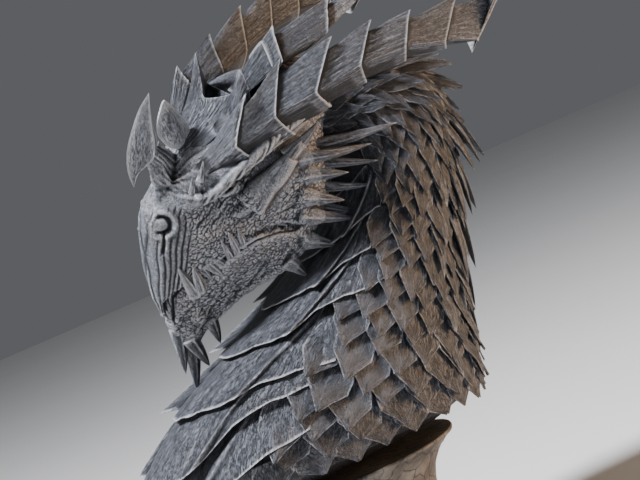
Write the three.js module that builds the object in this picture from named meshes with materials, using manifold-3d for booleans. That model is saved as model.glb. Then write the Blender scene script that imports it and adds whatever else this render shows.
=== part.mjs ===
// A painted resin dragon bust on a round waisted pedestal.
// Millimetres, +Z up. The origin is the centre of the pedestal's underside.
// The dragon faces -X. Its left side, which the head leans towards, faces -Y.
import * as THREE from "three";
import Module from "manifold-3d";

// Pedestal
const pedestalHeight = 60;
const rimRadius = 47;
const rimRound = 2.6;
const flareRadius = 34.5;
const waistRadius = 31.5;
const waistHeight = 30;
const baseRadius = 46;
const baseEdgeHeight = 5;
const rimArcSteps = 4;
const turnedSides = 30;

// Seat of the bust on the pedestal
const seatClearance = 0.3;
const footRadius = 34;
const footHeight = 9;

// Bust: its carving keeps its proportions as shares of the bust's own height
const bustHeight = 181;
const carvedHeight = 181;
const carvingShare = bustHeight / carvedHeight;

// Pose of the head on the neck
const headPlace = new THREE.Vector3(11, 0, 119.8);
const headPitch = THREE.MathUtils.degToRad(10);
const headRoll = THREE.MathUtils.degToRad(25);

// Scales of the neck
const scaleRows = 15;
const scalesRound = 20;
const firstScaleRow = 0.4;
const lastScaleRow = 7.6;
const scaleLift = 2.8;
const scaleLeastLift = 0.15;
const scaleTaper = 0.85;
const scalesBeginLow = 56;
const scalesBeginSlope = 5;
const scalesBeginMost = 82;
const bellyInset = 16;

// Plates of the throat
const plateLift = 3.2;
const plateThickness = 3.8;
const plateUndercut = 0.08;
const plateSink = 3.2;
const plateRoot = 9;
const plateSteps = 7;
const throatInset = 2.6;

// Spikes narrower than this taper straight from root to tip
const plainSpikeWidth = 6.5;
const spikeBelly = 0.72;

// Sweep of the horns
const hornPlateFlare = 1.14;
const hornPlateOverlap = 0.1;

const wasm = await Module();
wasm.setup();

// Turns a closed set of triangles into a solid whose faces point out
function solid(points, triangles) {
  const cross = new THREE.Vector3();
  let volume = 0;
  for (const [a, b, c] of triangles) {
    volume += points[a].dot(cross.crossVectors(points[b], points[c]));
  }
  const outward = triangles.map(([a, b, c]) => (volume < 0 ? [a, c, b] : [a, b, c]));
  return new wasm.Manifold(
    new wasm.Mesh({
      numProp: 3,
      vertProperties: new Float32Array(points.flatMap((p) => p.toArray())),
      triVerts: new Uint32Array(outward.flat()),
    }),
  );
}

// Closes a tube of rings with as many points each; a ring of one point is a tip
function loft(rings) {
  const points = rings.flat();
  const triangles = [];
  const starts = [];
  let start = 0;
  for (const ring of rings) {
    starts.push(start);
    start += ring.length;
  }
  for (let i = 0; i + 1 < rings.length; i++) {
    const [m, n] = [rings[i].length, rings[i + 1].length];
    const sides = Math.max(m, n);
    for (let j = 0; j < sides; j++) {
      const k = (j + 1) % sides;
      const [a, b] = [starts[i] + (j % m), starts[i] + (k % m)];
      const [c, d] = [starts[i + 1] + (j % n), starts[i + 1] + (k % n)];
      if (m > 1) triangles.push([a, b, d]);
      if (n > 1) triangles.push([a, d, c]);
    }
  }
  const last = rings.length - 1;
  for (let j = 1; j + 1 < rings[0].length; j++) {
    triangles.push([starts[0], starts[0] + j + 1, starts[0] + j]);
  }
  for (let j = 1; j + 1 < rings[last].length; j++) {
    triangles.push([starts[last], starts[last] + j, starts[last] + j + 1]);
  }
  return solid(points, triangles);
}

// A four-sided blade from a root to a tip, with a ridge along the side that "out" points to
function spike(root, tip, width, thickness, out) {
  const axis = tip.clone().sub(root);
  const across = new THREE.Vector3().crossVectors(axis, out).normalize();
  const ridge = new THREE.Vector3().crossVectors(across, axis).normalize();
  const ring = (share, swell) => {
    const middle = root.clone().addScaledVector(axis, share);
    return [
      middle.clone().addScaledVector(across, (swell * width) / 2),
      middle.clone().addScaledVector(ridge, (swell * thickness) / 2),
      middle.clone().addScaledVector(across, (-swell * width) / 2),
      middle.clone().addScaledVector(ridge, (-swell * thickness) / 2),
    ];
  };
  const rings = [ring(0, 1), ring(0.5, spikeBelly), [tip.clone()]];
  return loft(width < plainSpikeWidth ? [rings[0], rings[2]] : rings);
}

const v = (x, y, z) => new THREE.Vector3(x, y, z);
const both = (make) => [make(1), make(-1)];
const joined = (solids) => solids.reduce((all, one) => all.add(one));

// Neck: each section runs from a point on the throat to a point on the back, with its half width
const neckSections = [
  { front: [-77, 8.5], back: [66, 6.5], half: 44 },
  { front: [-80, 22], back: [71, 19], half: 46 },
  { front: [-58, 42], back: [74, 37.5], half: 42 },
  { front: [-30, 57.5], back: [79, 56.5], half: 38 },
  { front: [-6.5, 68.5], back: [85.5, 79], half: 34 },
  { front: [12.5, 79], back: [92, 99], half: 31 },
  { front: [28.5, 92.5], back: [96.5, 117.5], half: 29 },
  { front: [34.5, 107], back: [94, 136], half: 27 },
  { front: [28, 118], back: [78, 147], half: 24 },
  { front: [16, 119], back: [57, 151], half: 19 },
];

// A value of the neck's sections at a place that may lie between two of them
function alongNeck(place, value) {
  const low = Math.min(Math.floor(place), neckSections.length - 2);
  const share = place - low;
  const near = (i) => value(neckSections[THREE.MathUtils.clamp(i, 0, neckSections.length - 1)]);
  const [a, b, c, d] = [near(low - 1), near(low), near(low + 1), near(low + 2)];
  const slopeIn = (c - a) / 2;
  const slopeOut = (d - b) / 2;
  const cubic = 2 * b - 2 * c + slopeIn + slopeOut;
  const square = -3 * b + 3 * c - 2 * slopeIn - slopeOut;
  return ((cubic * share + square) * share + slopeIn) * share + b;
}

// A point of the neck: turn 0 is the throat, 180 the back, and a plus turn is the dragon's left
function neckPoint(place, turnDegrees, lift = 0) {
  const turn = THREE.MathUtils.degToRad(turnDegrees);
  const front = v(alongNeck(place, (s) => s.front[0]), 0, alongNeck(place, (s) => s.front[1]));
  const back = v(alongNeck(place, (s) => s.back[0]), 0, alongNeck(place, (s) => s.back[1]));
  const half = alongNeck(place, (s) => s.half);
  const middle = front.clone().add(back).multiplyScalar(0.5);
  const forward = front.clone().sub(back).multiplyScalar(0.5);
  const point = middle.addScaledVector(forward, Math.cos(turn));
  point.y -= half * Math.sin(turn);
  const outward = forward.multiplyScalar(Math.cos(turn) / forward.length());
  outward.y -= Math.sin(turn);
  return point.addScaledVector(outward.normalize(), lift);
}

// Share of a scale's full rise at a place and turn: none on the throat, which its plates cover
function scaleRise(place, turn) {
  const begin = THREE.MathUtils.clamp(scalesBeginLow + scalesBeginSlope * place, 0, scalesBeginMost);
  const behind = THREE.MathUtils.smoothstep(Math.abs(turn), begin - 10, begin + 10);
  const nape = THREE.MathUtils.smoothstep(place, neckSections.length - 2, neckSections.length - 1);
  return behind * (1 - nape);
}

// The neck's hide: rows of lapped scales, each row's tips halfway between those of the row below
function neckHide() {
  const columns = 2 * scalesRound;
  const spacing = (lastScaleRow - firstScaleRow) / (scaleRows - 1);
  const turnOf = (column) => (360 * column) / columns - 180;
  const ringOf = (point) => Array.from({ length: columns }, (_, column) => point(turnOf(column), column));
  const rowRing = (row, raised) =>
    ringOf((turn, column) => {
      const place = firstScaleRow + spacing * row;
      const rise = scaleRise(place, turn);
      const isTip = (column + row) % 2 === 0;
      const zigzag = (isTip ? -0.5 : 0.5) * scaleTaper * spacing * rise;
      const lift = raised ? Math.max(scaleLift * rise * (isTip ? 1 : 0.45), scaleLeastLift) : 0;
      return neckPoint(place + zigzag, turn, lift - throatInset * (1 - rise));
    });
  const under = ringOf((turn) => neckPoint(0, turn, -bellyInset)).map((p) => v(p.x, p.y, footHeight / 3));
  const rings = [under, ringOf((turn) => neckPoint(0, turn, -1))];
  for (let row = 0; row < scaleRows; row++) rings.push(rowRing(row, false), rowRing(row, true));
  rings.push(ringOf((turn) => neckPoint(neckSections.length - 1.4, turn)));
  rings.push(ringOf((turn) => neckPoint(neckSections.length - 1, turn)));
  return loft(rings);
}

// Throat plates: the lower edge of each as pairs of a turn and a place on the neck
const throatPlates = [
  { edge: [[0, 0.12], [30, 0.25], [45, 0.75], [58, 1.1], [72, 1.25]], depth: 1.25 },
  { edge: [[0, 1.02], [31, 1.25], [42, 1.78], [54, 1.92], [68, 1.95]], depth: 1.4 },
  { edge: [[0, 2.12], [37, 2.22], [46, 2.36], [62, 2.3], [76, 2.25]], depth: 1.3 },
  { edge: [[0, 3.1], [44, 3.2], [53, 3.52], [66, 3.52], [80, 3.45]], depth: 1.3 },
  { edge: [[0, 4.2], [42, 4.3], [54, 4.5], [72, 4.45]], depth: 1.2 },
  { edge: [[0, 5.3], [44, 5.4], [56, 5.5], [70, 5.4]], depth: 1.1 },
];

// A plate is a wedge: thick along its lower edge, and sunk in the neck along its upper one
function throatPlate({ edge, depth }) {
  const corners = edge.map(([turn, place]) => v(turn, place, 0));
  const line = new THREE.CatmullRomCurve3(corners, false, "catmullrom", 0.3);
  const half = line.getPoints(plateSteps);
  const stations = [...half.slice(1).reverse().map(({ x, y }) => [-x, y]), ...half.map(({ x, y }) => [x, y])];
  const most = half[half.length - 1].x;
  const rings = stations.map(([turn, place]) => {
    const lift = plateLift * (1 - 0.6 * Math.abs(turn / most) ** 3);
    return [
      neckPoint(place, turn, lift),
      neckPoint(place + depth, turn * 0.96, -plateSink),
      neckPoint(place + depth / 3, turn * 0.98, -plateRoot),
      neckPoint(place + plateUndercut, turn, lift - plateThickness),
    ];
  });
  return loft(rings);
}

// Raised creases on the wings of the upper plates
const plateCreases = [
  { from: [2.5, 36], to: [2.95, 54], rise: 4.5 },
  { from: [3.45, 42], to: [4.0, 62], rise: 5 },
  { from: [4.5, 40], to: [4.9, 58], rise: 4 },
];

function plateCrease({ from, to, rise }, side) {
  const [start, end] = [from, to].map(([place, turn]) => neckPoint(place, side * turn, -1));
  const middle = neckPoint((from[0] + to[0]) / 2, (side * (from[1] + to[1])) / 2, rise);
  const below = neckPoint((from[0] + to[0]) / 2 - 0.25, (side * (from[1] + to[1])) / 2, -1);
  const under = neckPoint((from[0] + to[0]) / 2, (side * (from[1] + to[1])) / 2, -4);
  return loft([[start], [middle, below, under], [end]]);
}

// Spines down the back: where each leaves the back, its tip and its width
const backSpines = [
  { place: 7.9, tip: [114, 122.7], width: 15 },
  { place: 7.2, tip: [109.5, 112.3], width: 11 },
  { place: 6.4, tip: [112, 90.7], width: 10 },
  { place: 5.5, tip: [99, 72.5], width: 9 },
  { place: 4.6, tip: [88.5, 50], width: 9 },
  { place: 3.8, tip: [81.5, 35], width: 9 },
  { place: 2.8, tip: [76.5, 18.5], width: 9 },
  { place: 1.9, tip: [72, 7], width: 9 },
];
const backSpineThickness = 5;
const pairedSpines = 5;
const pairedSpineTurn = 18;

// A spine on the midline, or one of the shorter pair beside it
function backSpine({ place, tip, width }, side) {
  const aside = Math.abs(side);
  const root = neckPoint(place - 0.35 * aside, 180 - side * pairedSpineTurn, -2);
  const end = v(tip[0] - 9 * aside, root.y * 1.4, tip[1] - aside);
  const out = neckPoint(place, 180 - side * pairedSpineTurn, 10).sub(root);
  return spike(root, end, width * (1 - 0.2 * aside), backSpineThickness, out);
}

const spinesOfBack = () => [
  ...backSpines.map((spine) => backSpine(spine, 0)),
  ...backSpines.slice(0, pairedSpines).flatMap((spine) => both((side) => backSpine(spine, side))),
];

// Head: x runs forward from the nape to the beak, y to the dragon's left, z up.
// Each section of the upper head runs from the crown down one side to the palate.
const upperHead = [
  [58.8, [0, -13], [2, -13.5], [2.8, -15], [3.2, -17], [3.4, -19], [3, -21], [2.2, -23.5], [0, -24]],
  [56.6, [0, -2], [3.6, -4], [5.4, -7], [6.2, -10], [6.6, -13], [6.4, -17], [4.6, -21.5], [0, -21]],
  [52, [0, 11], [4.6, 9.5], [7, 6], [8.4, 1], [9.2, -4], [9.4, -11], [8, -19.5], [0, -18]],
  [47, [0, 17.2], [6, 15.5], [8.4, 12.5], [9.6, 8], [11, 1], [12, -8], [11, -17.5], [0, -16]],
  [40, [0, 21], [7, 19.5], [11, 15], [12.6, 9], [14.5, 2], [15.5, -6], [14.2, -15], [0, -14]],
  [33, [0, 25], [9, 22.5], [16, 13.8], [15, 10], [17, 3], [18, -4], [17.3, -11.8], [0, -12]],
  [27, [0, 29.5], [10, 27], [19.8, 14], [16, 11.5], [18.8, 3], [20, -3], [19.5, -10], [0, -11]],
  [20, [0, 32.5], [13, 29.5], [24, 17.7], [17, 15], [20.5, 2], [22, -3], [21, -9.2], [0, -11]],
  [9, [0, 38], [17, 35], [28, 22], [19, 18], [25.5, 6], [26, -2], [23.5, -10], [0, -12]],
  [-2, [0, 41], [21, 37], [29.5, 24.5], [22, 19.5], [29, 11.5], [28.5, -1], [26, -13], [0, -15]],
  [-12, [0, 41], [22, 37], [28.5, 25.5], [23, 18], [26, 10], [27, -3], [23, -16], [0, -20]],
  [-23, [0, 39], [18, 35], [22, 25], [19, 17], [20, 9], [20, -2], [16, -12], [0, -18]],
  [-38, [0, 35], [11, 32], [14, 25], [13, 17], [12, 10], [11, 3], [8, -3], [0, -6]],
];

// Each section of the lower jaw runs from the tongue over the lip to the throat
const lowerJaw = [
  [58.2, [0, -29], [2, -29.5], [2.6, -35], [1.6, -41], [0, -42]],
  [54, [0, -20], [4, -25.5], [5.6, -34], [4.4, -44], [0, -48]],
  [50, [0, -17], [9, -21.4], [8.8, -31], [5.5, -44], [0, -50]],
  [45, [0, -15], [12.6, -19.4], [11.8, -28], [8, -40.5], [0, -43.5]],
  [39, [0, -13], [15.2, -16.4], [14.6, -25], [9.5, -38], [0, -37]],
  [31, [0, -10], [20, -10.6], [18.4, -20], [13, -33], [0, -30]],
  [22, [0, -10], [24.2, -7.6], [22.8, -17], [18.2, -29.6], [0, -24]],
  [13, [0, -9], [26.2, -9], [26, -18], [24.4, -27], [0, -20]],
  [3, [0, -9], [27.4, -12], [28.4, -18], [25, -24.5], [0, -18]],
  [-8, [0, -6], [26, -8], [27, -14], [21, -20], [0, -17]],
  [-18, [0, -2], [19, -5], [20, -10], [14, -15], [0, -13]],
];

// Rings that run down one side of a half section and back up the other
const headLoft = (sections) =>
  loft(
    sections.map(([x, ...half]) => {
      const left = half.map(([y, z]) => v(x, y, z));
      const right = half.slice(1, -1).reverse().map(([y, z]) => v(x, -y, z));
      return [...left, ...right];
    }),
  );

const beakTip = () => spike(v(57.4, 0, -17), v(59.6, 0, -32.2), 9, 5.6, v(1, 0, 0));

// Horns: each row is the upper edge, the lower outer edge, the keel and the inner face of a horn
const hornEdges = [
  { upper: [27, 11, 28], outer: [25, 17, 24], keel: [24, 17, 17], inner: [18, 9, 26] },
  { upper: [4.5, 24, 46], outer: [14.7, 25, 31.4], keel: [9, 27, 22], inner: [2, 17, 34] },
  { upper: [-14, 25, 51], outer: [-2.2, 31, 36.2], keel: [-8, 30, 24.8], inner: [-12, 19, 36] },
  { upper: [-34.5, 31.5, 51.5], outer: [-19.9, 36, 38.4], keel: [-26, 32, 27.5], inner: [-28, 24, 38] },
  { upper: [-52, 34.5, 50], outer: [-39.9, 40, 40.1], keel: [-43, 34.5, 29.2], inner: [-45, 29, 38] },
  { upper: [-68.2, 38, 46.6], outer: [-59.7, 43, 37.6], keel: [-61, 37.5, 29.4], inner: [-62, 33, 37] },
  { upper: [-89.1, 40, 41.8], outer: [-77.5, 44, 30.9], keel: [-79, 40, 25.5], inner: [-80, 36, 32] },
  { upper: [-111.7, 40, 33.9], outer: [-92.5, 44, 23.3], keel: [-94, 41.5, 21.5], inner: [-96, 37, 27] },
];
const hornTip = { root: [-94, 41, 29], tip: [-124, 45, 53], width: 13, thickness: 8 };

const onSide = ([x, y, z], side) => v(x, side * y, z);
const hornRing = (edges, side) =>
  [edges.upper, edges.outer, edges.keel, edges.inner].map((p) => onSide(p, side));

// Draws a ring in towards its middle, or out from it
function swollen(ring, factor) {
  const middle = ring.reduce((sum, p) => sum.add(p), v(0, 0, 0)).divideScalar(ring.length);
  return ring.map((p) => p.clone().sub(middle).multiplyScalar(factor).add(middle));
}

function horn(side) {
  const rings = hornEdges.map((edges) => hornRing(edges, side));
  const plates = [];
  for (let i = 0; i + 1 < rings.length; i++) {
    const narrow = swollen(rings[i], i === 0 ? 0.8 : 1 / hornPlateFlare);
    const ahead = rings[i + 1];
    const front = narrow.map((p, j) => p.lerp(ahead[j], -hornPlateOverlap));
    plates.push(loft([front, ahead]));
  }
  const { root, tip, width, thickness } = hornTip;
  plates.push(spike(onSide(root, side), onSide(tip, side), width, thickness, v(0, side, 0)));
  return plates;
}

// The middle horn, between the two: plates that overlap towards the nape
const middleHornEdges = [
  { upper: [-6, 0, 42], side: [-8, 7, 38], low: [-8, 0, 33] },
  { upper: [-28.8, 0, 52], side: [-24, 9.5, 43], low: [-22, 0, 36] },
  { upper: [-56.2, 0, 50.5], side: [-48, 8.5, 43], low: [-46, 0, 37] },
];
const middleHornTip = [-84, 0, 47];

function middleHorn() {
  const ringOf = ({ upper, side, low }) => [v(...upper), onSide(side, 1), v(...low), onSide(side, -1)];
  const [first, second, third] = middleHornEdges.map(ringOf);
  const innerSecond = swollen(second, 1 / hornPlateFlare);
  const innerThird = swollen(third, 1 / hornPlateFlare);
  return [loft([first, second]), loft([innerSecond, third]), loft([innerThird, [v(...middleHornTip)]])];
}

// Crest of the forehead, which rises to two prongs with a notch between them
const crestSections = [
  [v(27, 0, 30), v(26, 7, 27), v(24, 0, 22), v(26, -7, 27)],
  [v(15, 0, 37), v(12, 15, 35), v(10, 0, 28), v(12, -15, 35)],
  [v(3, 0, 44), v(-1, 19, 42), v(-6, 0, 34), v(-1, -19, 42)],
];
const prong = { root: [3, 15, 40], tip: [-3.5, 17, 53], width: 13, thickness: 6 };

function crest() {
  const prongs = both((side) => {
    const root = onSide(prong.root, side);
    return spike(root, onSide(prong.tip, side), prong.width, prong.thickness, v(1, 0, 0));
  });
  return [loft(crestSections), ...prongs];
}

// Nose horn: a crescent whose front and rear edges are given from its lower tip to its upper one
const crescentEdges = [
  { front: [50.2, 31], rear: [45.5, 31.5], half: 1.8 },
  { front: [49.2, 36.5], rear: [36.5, 33.5], half: 3.6 },
  { front: [46.4, 42.5], rear: [33.4, 39.5], half: 3.8 },
  { front: [41, 49], rear: [32.8, 45], half: 3 },
  { front: [35.6, 54.2], rear: [31.4, 51], half: 1.8 },
];
const crescentTips = [v(49.9, 0, 26.6), v(29.4, 0, 57.8)];
const crescentSpine = 0.62;

function noseHorn() {
  const rings = crescentEdges.map(({ front, rear, half }) => {
    const [a, b] = [v(front[0], 0, front[1]), v(rear[0], 0, rear[1])];
    const spine = a.clone().lerp(b, crescentSpine);
    return [a, spine.clone().setY(half), b, spine.clone().setY(-half)];
  });
  const stem = [
    [v(38, 6, 20), v(43, 0, 19), v(38, -6, 20), v(27, 0, 26)],
    [v(36.5, 4, 30), v(41.6, 0, 31.4), v(36.5, -4, 30), v(30.2, 0, 33)],
    [v(38, 2.4, 37), v(42, 0, 37), v(38, -2.4, 37), v(33.6, 0, 38)],
  ];
  return [loft([[crescentTips[0]], ...rings, [crescentTips[1]]]), loft(stem)];
}

// The small leaf that stands behind the nose horn
const leafOutline = [[24.5, 51.5], [30, 46], [32.4, 40], [30, 33], [24, 29], [19.5, 34], [20, 41]];
const leafHalfThickness = 1.7;

function leaf() {
  const rim = leafOutline.map(([x, z]) => v(x, 0, z));
  const crown = both((side) => v(26, side * leafHalfThickness, 39));
  const points = [...rim, ...crown];
  const triangles = rim.flatMap((_, i) => {
    const j = (i + 1) % rim.length;
    return [[i, j, rim.length], [j, i, rim.length + 1]];
  });
  return solid(points, triangles);
}

// Spikes of the head as root, tip, width and thickness, on the left side; the right side mirrors them
const pairedSpikes = [
  // Cheekbone
  [[6, 25, 7], [-9.8, 31, 21], 8, 7],
  [[-6, 26, 14], [-20.1, 30, 23.4], 6, 5],
  // Row behind the cheek
  [[11.8, 25, -24], [6.7, 28, -35], 7, 6],
  [[3, 26, -19.5], [-9.3, 32, -28.5], 7, 5],
  [[1, 27, -9], [-19.1, 34, -20.9], 7, 5],
  [[-2, 27, -1.5], [-16.6, 35, -10.3], 7, 5],
  [[-6, 26, 5.5], [-21.9, 36, 0], 7, 5],
  [[-6, 25, 13], [-21.5, 35, 9], 7, 5],
  // Quills behind them
  [[-9, 22, 9.5], [-39.3, 30, 1.5], 6, 4],
  [[-18, 18, 9], [-51.5, 33, 5], 6, 4],
  [[-18, 18, 2], [-38.5, 33, -5.3], 5, 4],
  [[-13, 20, -6], [-32.4, 33, -13.1], 5, 4],
  [[-11, 20, -14], [-26.2, 32, -23.1], 5, 4],
  // Chin
  [[54, 4, -43], [51.1, 5, -59], 4, 3.4],
  [[44, 7, -38], [44, 7.5, -51.2], 4, 3.4],
  // Fangs of the lower jaw
  [[47, 10, -23], [50.6, 11, -8], 5, 4],
  [[45.2, 11.5, -22], [45.8, 14, -9.5], 4.4, 3.6],
  [[31, 18.5, -13], [33, 19.5, -3], 2.8, 2.4],
  [[28, 19.5, -12], [29.5, 21, -0.7], 3.2, 2.6],
  [[25, 20.5, -11], [25.6, 22, -1], 2.8, 2.4],
  // Teeth of the upper jaw
  [[39, 13.5, -12], [35.9, 17, -20], 3.4, 2.8],
  [[36, 14.5, -11.5], [32.6, 18.5, -18], 3, 2.6],
  // Thorns of the brow
  [[29, 14, 21], [26, 16.5, 30], 3.4, 3],
  [[33.5, 12, 17], [32, 14.5, 24.5], 3.4, 3],
];

// Single spikes on the midline
const middleSpikes = [
  [[56, 0, -38], [60, 0, -59], 5, 4.4],
  [[52, 0, -46], [58.4, 0, -69.5], 6, 4.4],
  [[-46, 0, 28], [-81.4, 0, 28.8], 12, 7],
];

function headSpikes() {
  const make = ([root, tip, width, thickness], side) => {
    const out = v(0, side, 0);
    return spike(onSide(root, side), onSide(tip, side), width, thickness, out);
  };
  const paired = pairedSpikes.flatMap((one) => both((side) => make(one, side)));
  return [...paired, ...middleSpikes.map((one) => make(one, 1))];
}

const nostril = (side) =>
  spike(v(50.5, side * 11, 11), v(44.5, side * 7.4, 9.4), 3.4, 3.4, v(0, side, 0));

function head() {
  const parts = [headLoft(upperHead), headLoft(lowerJaw), beakTip(), ...crest(), ...noseHorn(), leaf()];
  parts.push(...both(horn).flat(), ...middleHorn(), ...headSpikes());
  const nostrils = joined(both(nostril));
  return joined(parts).subtract(nostrils);
}

// Fills the pockets that are sealed inside a solid
function filled(made) {
  return joined(made.decompose().filter((shell) => shell.volume() > 0));
}

// A solid's triangles as a geometry
function geometryOf(made) {
  const { numProp, vertProperties, triVerts } = made.getMesh();
  const position = new THREE.BufferAttribute(new Float32Array(vertProperties), numProp);
  return new THREE.BufferGeometry()
    .setAttribute("position", position)
    .setIndex(new THREE.BufferAttribute(new Uint32Array(triVerts), 1));
}

// A geometry's triangles as a solid
function solidFrom(geometry) {
  const { position } = geometry.attributes;
  const pointAt = (i) => v(0, 0, 0).fromBufferAttribute(position, i);
  const points = Array.from({ length: position.count }, (_, i) => pointAt(i));
  const corners = Array.from(geometry.index.array);
  const triangles = [];
  for (let i = 0; i < corners.length; i += 3) triangles.push(corners.slice(i, i + 3));
  return solid(points, triangles);
}

// The head's own frame in the bust: forward and down by the pitch, leaning left by the roll
function headMatrix() {
  const forward = v(-Math.cos(headPitch), 0, -Math.sin(headPitch));
  const level = v(0, -1, 0);
  const upright = new THREE.Vector3().crossVectors(forward, level);
  const left = level.clone().multiplyScalar(Math.cos(headRoll));
  left.addScaledVector(upright, -Math.sin(headRoll));
  const up = upright.clone().multiplyScalar(Math.cos(headRoll));
  up.addScaledVector(level, Math.sin(headRoll));
  return new THREE.Matrix4().makeBasis(forward, left, up).setPosition(headPlace);
}

function carving() {
  const posedHead = solidFrom(geometryOf(head()).applyMatrix4(headMatrix()));
  const neck = [neckHide(), ...throatPlates.map(throatPlate)];
  neck.push(...plateCreases.flatMap((crease) => both((side) => plateCrease(crease, side))));
  neck.push(...spinesOfBack());
  return joined(neck).add(posedHead);
}

// The round foot by which the bust stands on its pedestal
function foot() {
  const sides = 32;
  const ring = (radius, height) =>
    Array.from({ length: sides }, (_, i) => {
      const turn = (2 * Math.PI * i) / sides;
      return v(radius * Math.cos(turn), radius * Math.sin(turn), height);
    });
  return loft([ring(footRadius, 0), ring(footRadius, footHeight)]);
}

function bust() {
  const carved = geometryOf(carving()).scale(carvingShare, carvingShare, carvingShare);
  const whole = filled(solidFrom(carved).add(foot()));
  const resin = new THREE.MeshStandardMaterial({ color: 0x6f747c, roughness: 0.62, metalness: 0 });
  const mesh = new THREE.Mesh(geometryOf(whole), resin);
  mesh.name = "bust";
  mesh.position.z = pedestalHeight + seatClearance;
  return mesh;
}

// A turned socle: a round base, a waist, and a rim that flares out under the bust
function pedestal() {
  const rimHeight = pedestalHeight - rimRound;
  const rimArc = Array.from({ length: rimArcSteps + 1 }, (_, i) => {
    const turn = -Math.PI / 2 + (Math.PI * i) / rimArcSteps;
    const middle = rimRadius - rimRound;
    return new THREE.Vector2(middle + rimRound * Math.cos(turn), rimHeight + rimRound * Math.sin(turn));
  });
  const ankle = THREE.MathUtils.lerp(waistRadius, baseRadius, 0.45);
  const flare = new THREE.SplineCurve([
    new THREE.Vector2(baseRadius, baseEdgeHeight),
    new THREE.Vector2(ankle, THREE.MathUtils.lerp(baseEdgeHeight, waistHeight, 0.35)),
    new THREE.Vector2(waistRadius, waistHeight),
    new THREE.Vector2(flareRadius, THREE.MathUtils.lerp(waistHeight, rimHeight, 0.42)),
    new THREE.Vector2(rimRadius - rimRound * 3, rimHeight - rimRound * 2),
    rimArc[0],
  ]);
  const profile = [
    new THREE.Vector2(0, 0),
    new THREE.Vector2(baseRadius, 0),
    ...flare.getPoints(8).slice(0, -1),
    ...rimArc,
    new THREE.Vector2(0, pedestalHeight),
  ];
  const stone = new THREE.MeshStandardMaterial({ color: 0x4a423a, roughness: 0.75, metalness: 0 });
  const mesh = new THREE.Mesh(new THREE.LatheGeometry(profile, turnedSides), stone);
  mesh.rotation.x = Math.PI / 2;
  mesh.name = "pedestal";
  return mesh;
}

const group = new THREE.Group();
group.add(bust(), pedestal());
export default group;
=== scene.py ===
import math

import bmesh
import bpy
import numpy as np
from mathutils import Matrix, Vector


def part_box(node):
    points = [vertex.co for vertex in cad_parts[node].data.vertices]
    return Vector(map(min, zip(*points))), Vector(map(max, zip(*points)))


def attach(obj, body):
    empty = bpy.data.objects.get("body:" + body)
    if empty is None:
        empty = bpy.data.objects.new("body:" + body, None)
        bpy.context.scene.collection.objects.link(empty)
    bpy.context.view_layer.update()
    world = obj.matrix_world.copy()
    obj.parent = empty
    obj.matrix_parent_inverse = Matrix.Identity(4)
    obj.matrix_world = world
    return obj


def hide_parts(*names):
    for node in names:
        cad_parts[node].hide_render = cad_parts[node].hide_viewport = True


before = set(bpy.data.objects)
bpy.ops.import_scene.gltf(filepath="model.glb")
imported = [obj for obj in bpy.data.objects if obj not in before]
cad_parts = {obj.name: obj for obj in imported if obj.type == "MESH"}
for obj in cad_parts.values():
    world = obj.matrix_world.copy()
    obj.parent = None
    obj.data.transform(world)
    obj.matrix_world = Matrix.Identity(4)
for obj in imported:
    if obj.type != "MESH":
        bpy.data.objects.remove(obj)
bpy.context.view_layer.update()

# A painted resin dragon bust on a round waisted pedestal.
# The carving is drawn in millimetres above the bust's seat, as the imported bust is.
MM = 0.001
pedestal_low, pedestal_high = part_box("pedestal")
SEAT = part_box("bust")[0][2] / MM
rng = np.random.default_rng(7)

# Pose of the head on the neck
HEAD_PLACE = np.array([11.0, 0.0, 119.8])
HEAD_PITCH = math.radians(10)
HEAD_ROLL = math.radians(25)

# Fineness of the carved skin and how far edge wear reaches, in millimetres
SKIN_VOXEL = 0.63
WEAR_REACH = 6

# Edges sharper than this stay crisp
CRISP_ANGLE = math.radians(34)

# Scales of the neck, with rows as places on the neck and unevenness in places and degrees
SCALE_ROWS = 18
SCALES_ROUND = 30
FIRST_ROW = 0.3
LAST_ROW = 8.4
SCALE_KINDS = 5
SCALE_WIDTH = 12
SCALE_LENGTH = 16
UNEVEN_PLACE = 0.07
UNEVEN_TURN = 1.5
UNEVEN_SWING = 4.5

# Photograph's camera, in millimetres, with its roll
CAMERA_DISTANCE = 900.0
CAMERA_AZIMUTH = math.radians(-24)
CAMERA_ELEVATION = math.radians(3.5)
CAMERA_ROLL = math.radians(22)
CAMERA_AIM = np.array([22.75, -10.13, 147.5])
SENSOR = 36.0
FOCAL = SENSOR * 2250 / 640


# Seeded noise on arrays of points

def hashed(cells, seed):
    """One number from 0 to 1 for each whole-number cell."""
    mixed = cells @ np.array([127.1, 311.7, 74.7]) + seed * 53.3
    return np.modf(np.abs(np.sin(mixed) * 43758.5453))[0]


def cloud(points, size, seed):
    """Smooth noise from -1 to 1, with lumps of about the size given."""
    scaled = points / size
    low = np.floor(scaled)
    share = scaled - low
    share = share * share * (3 - 2 * share)
    total = np.zeros(len(points))
    for corner in np.ndindex(2, 2, 2):
        step = np.array(corner)
        weight = np.prod(np.where(step == 1, share, 1 - share), axis=1)
        total += weight * hashed(low + step, seed)
    return 2 * total - 1


def pebbles(points, size, seed):
    """Height from 0 in the grooves between cells to 1 on them."""
    scaled = points / size
    low = np.floor(scaled)
    nearest = np.full(len(points), 9.0)
    second = np.full(len(points), 9.0)
    for corner in np.ndindex(3, 3, 3):
        cell = low + np.array(corner) - 1
        place = cell + np.stack([hashed(cell, seed + axis) for axis in range(3)], axis=1)
        far = np.linalg.norm(place - scaled, axis=1)
        second = np.where(far < nearest, nearest, np.minimum(second, far))
        nearest = np.minimum(nearest, far)
    return np.clip((second - nearest) / 0.32, 0, 1)


def ramp(value, low, high):
    share = np.clip((value - low) / (high - low), 0, 1)
    return share * share * (3 - 2 * share)


def bump_at(value, middle, width):
    return np.exp(-(((value - middle) / width) ** 2))


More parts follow.
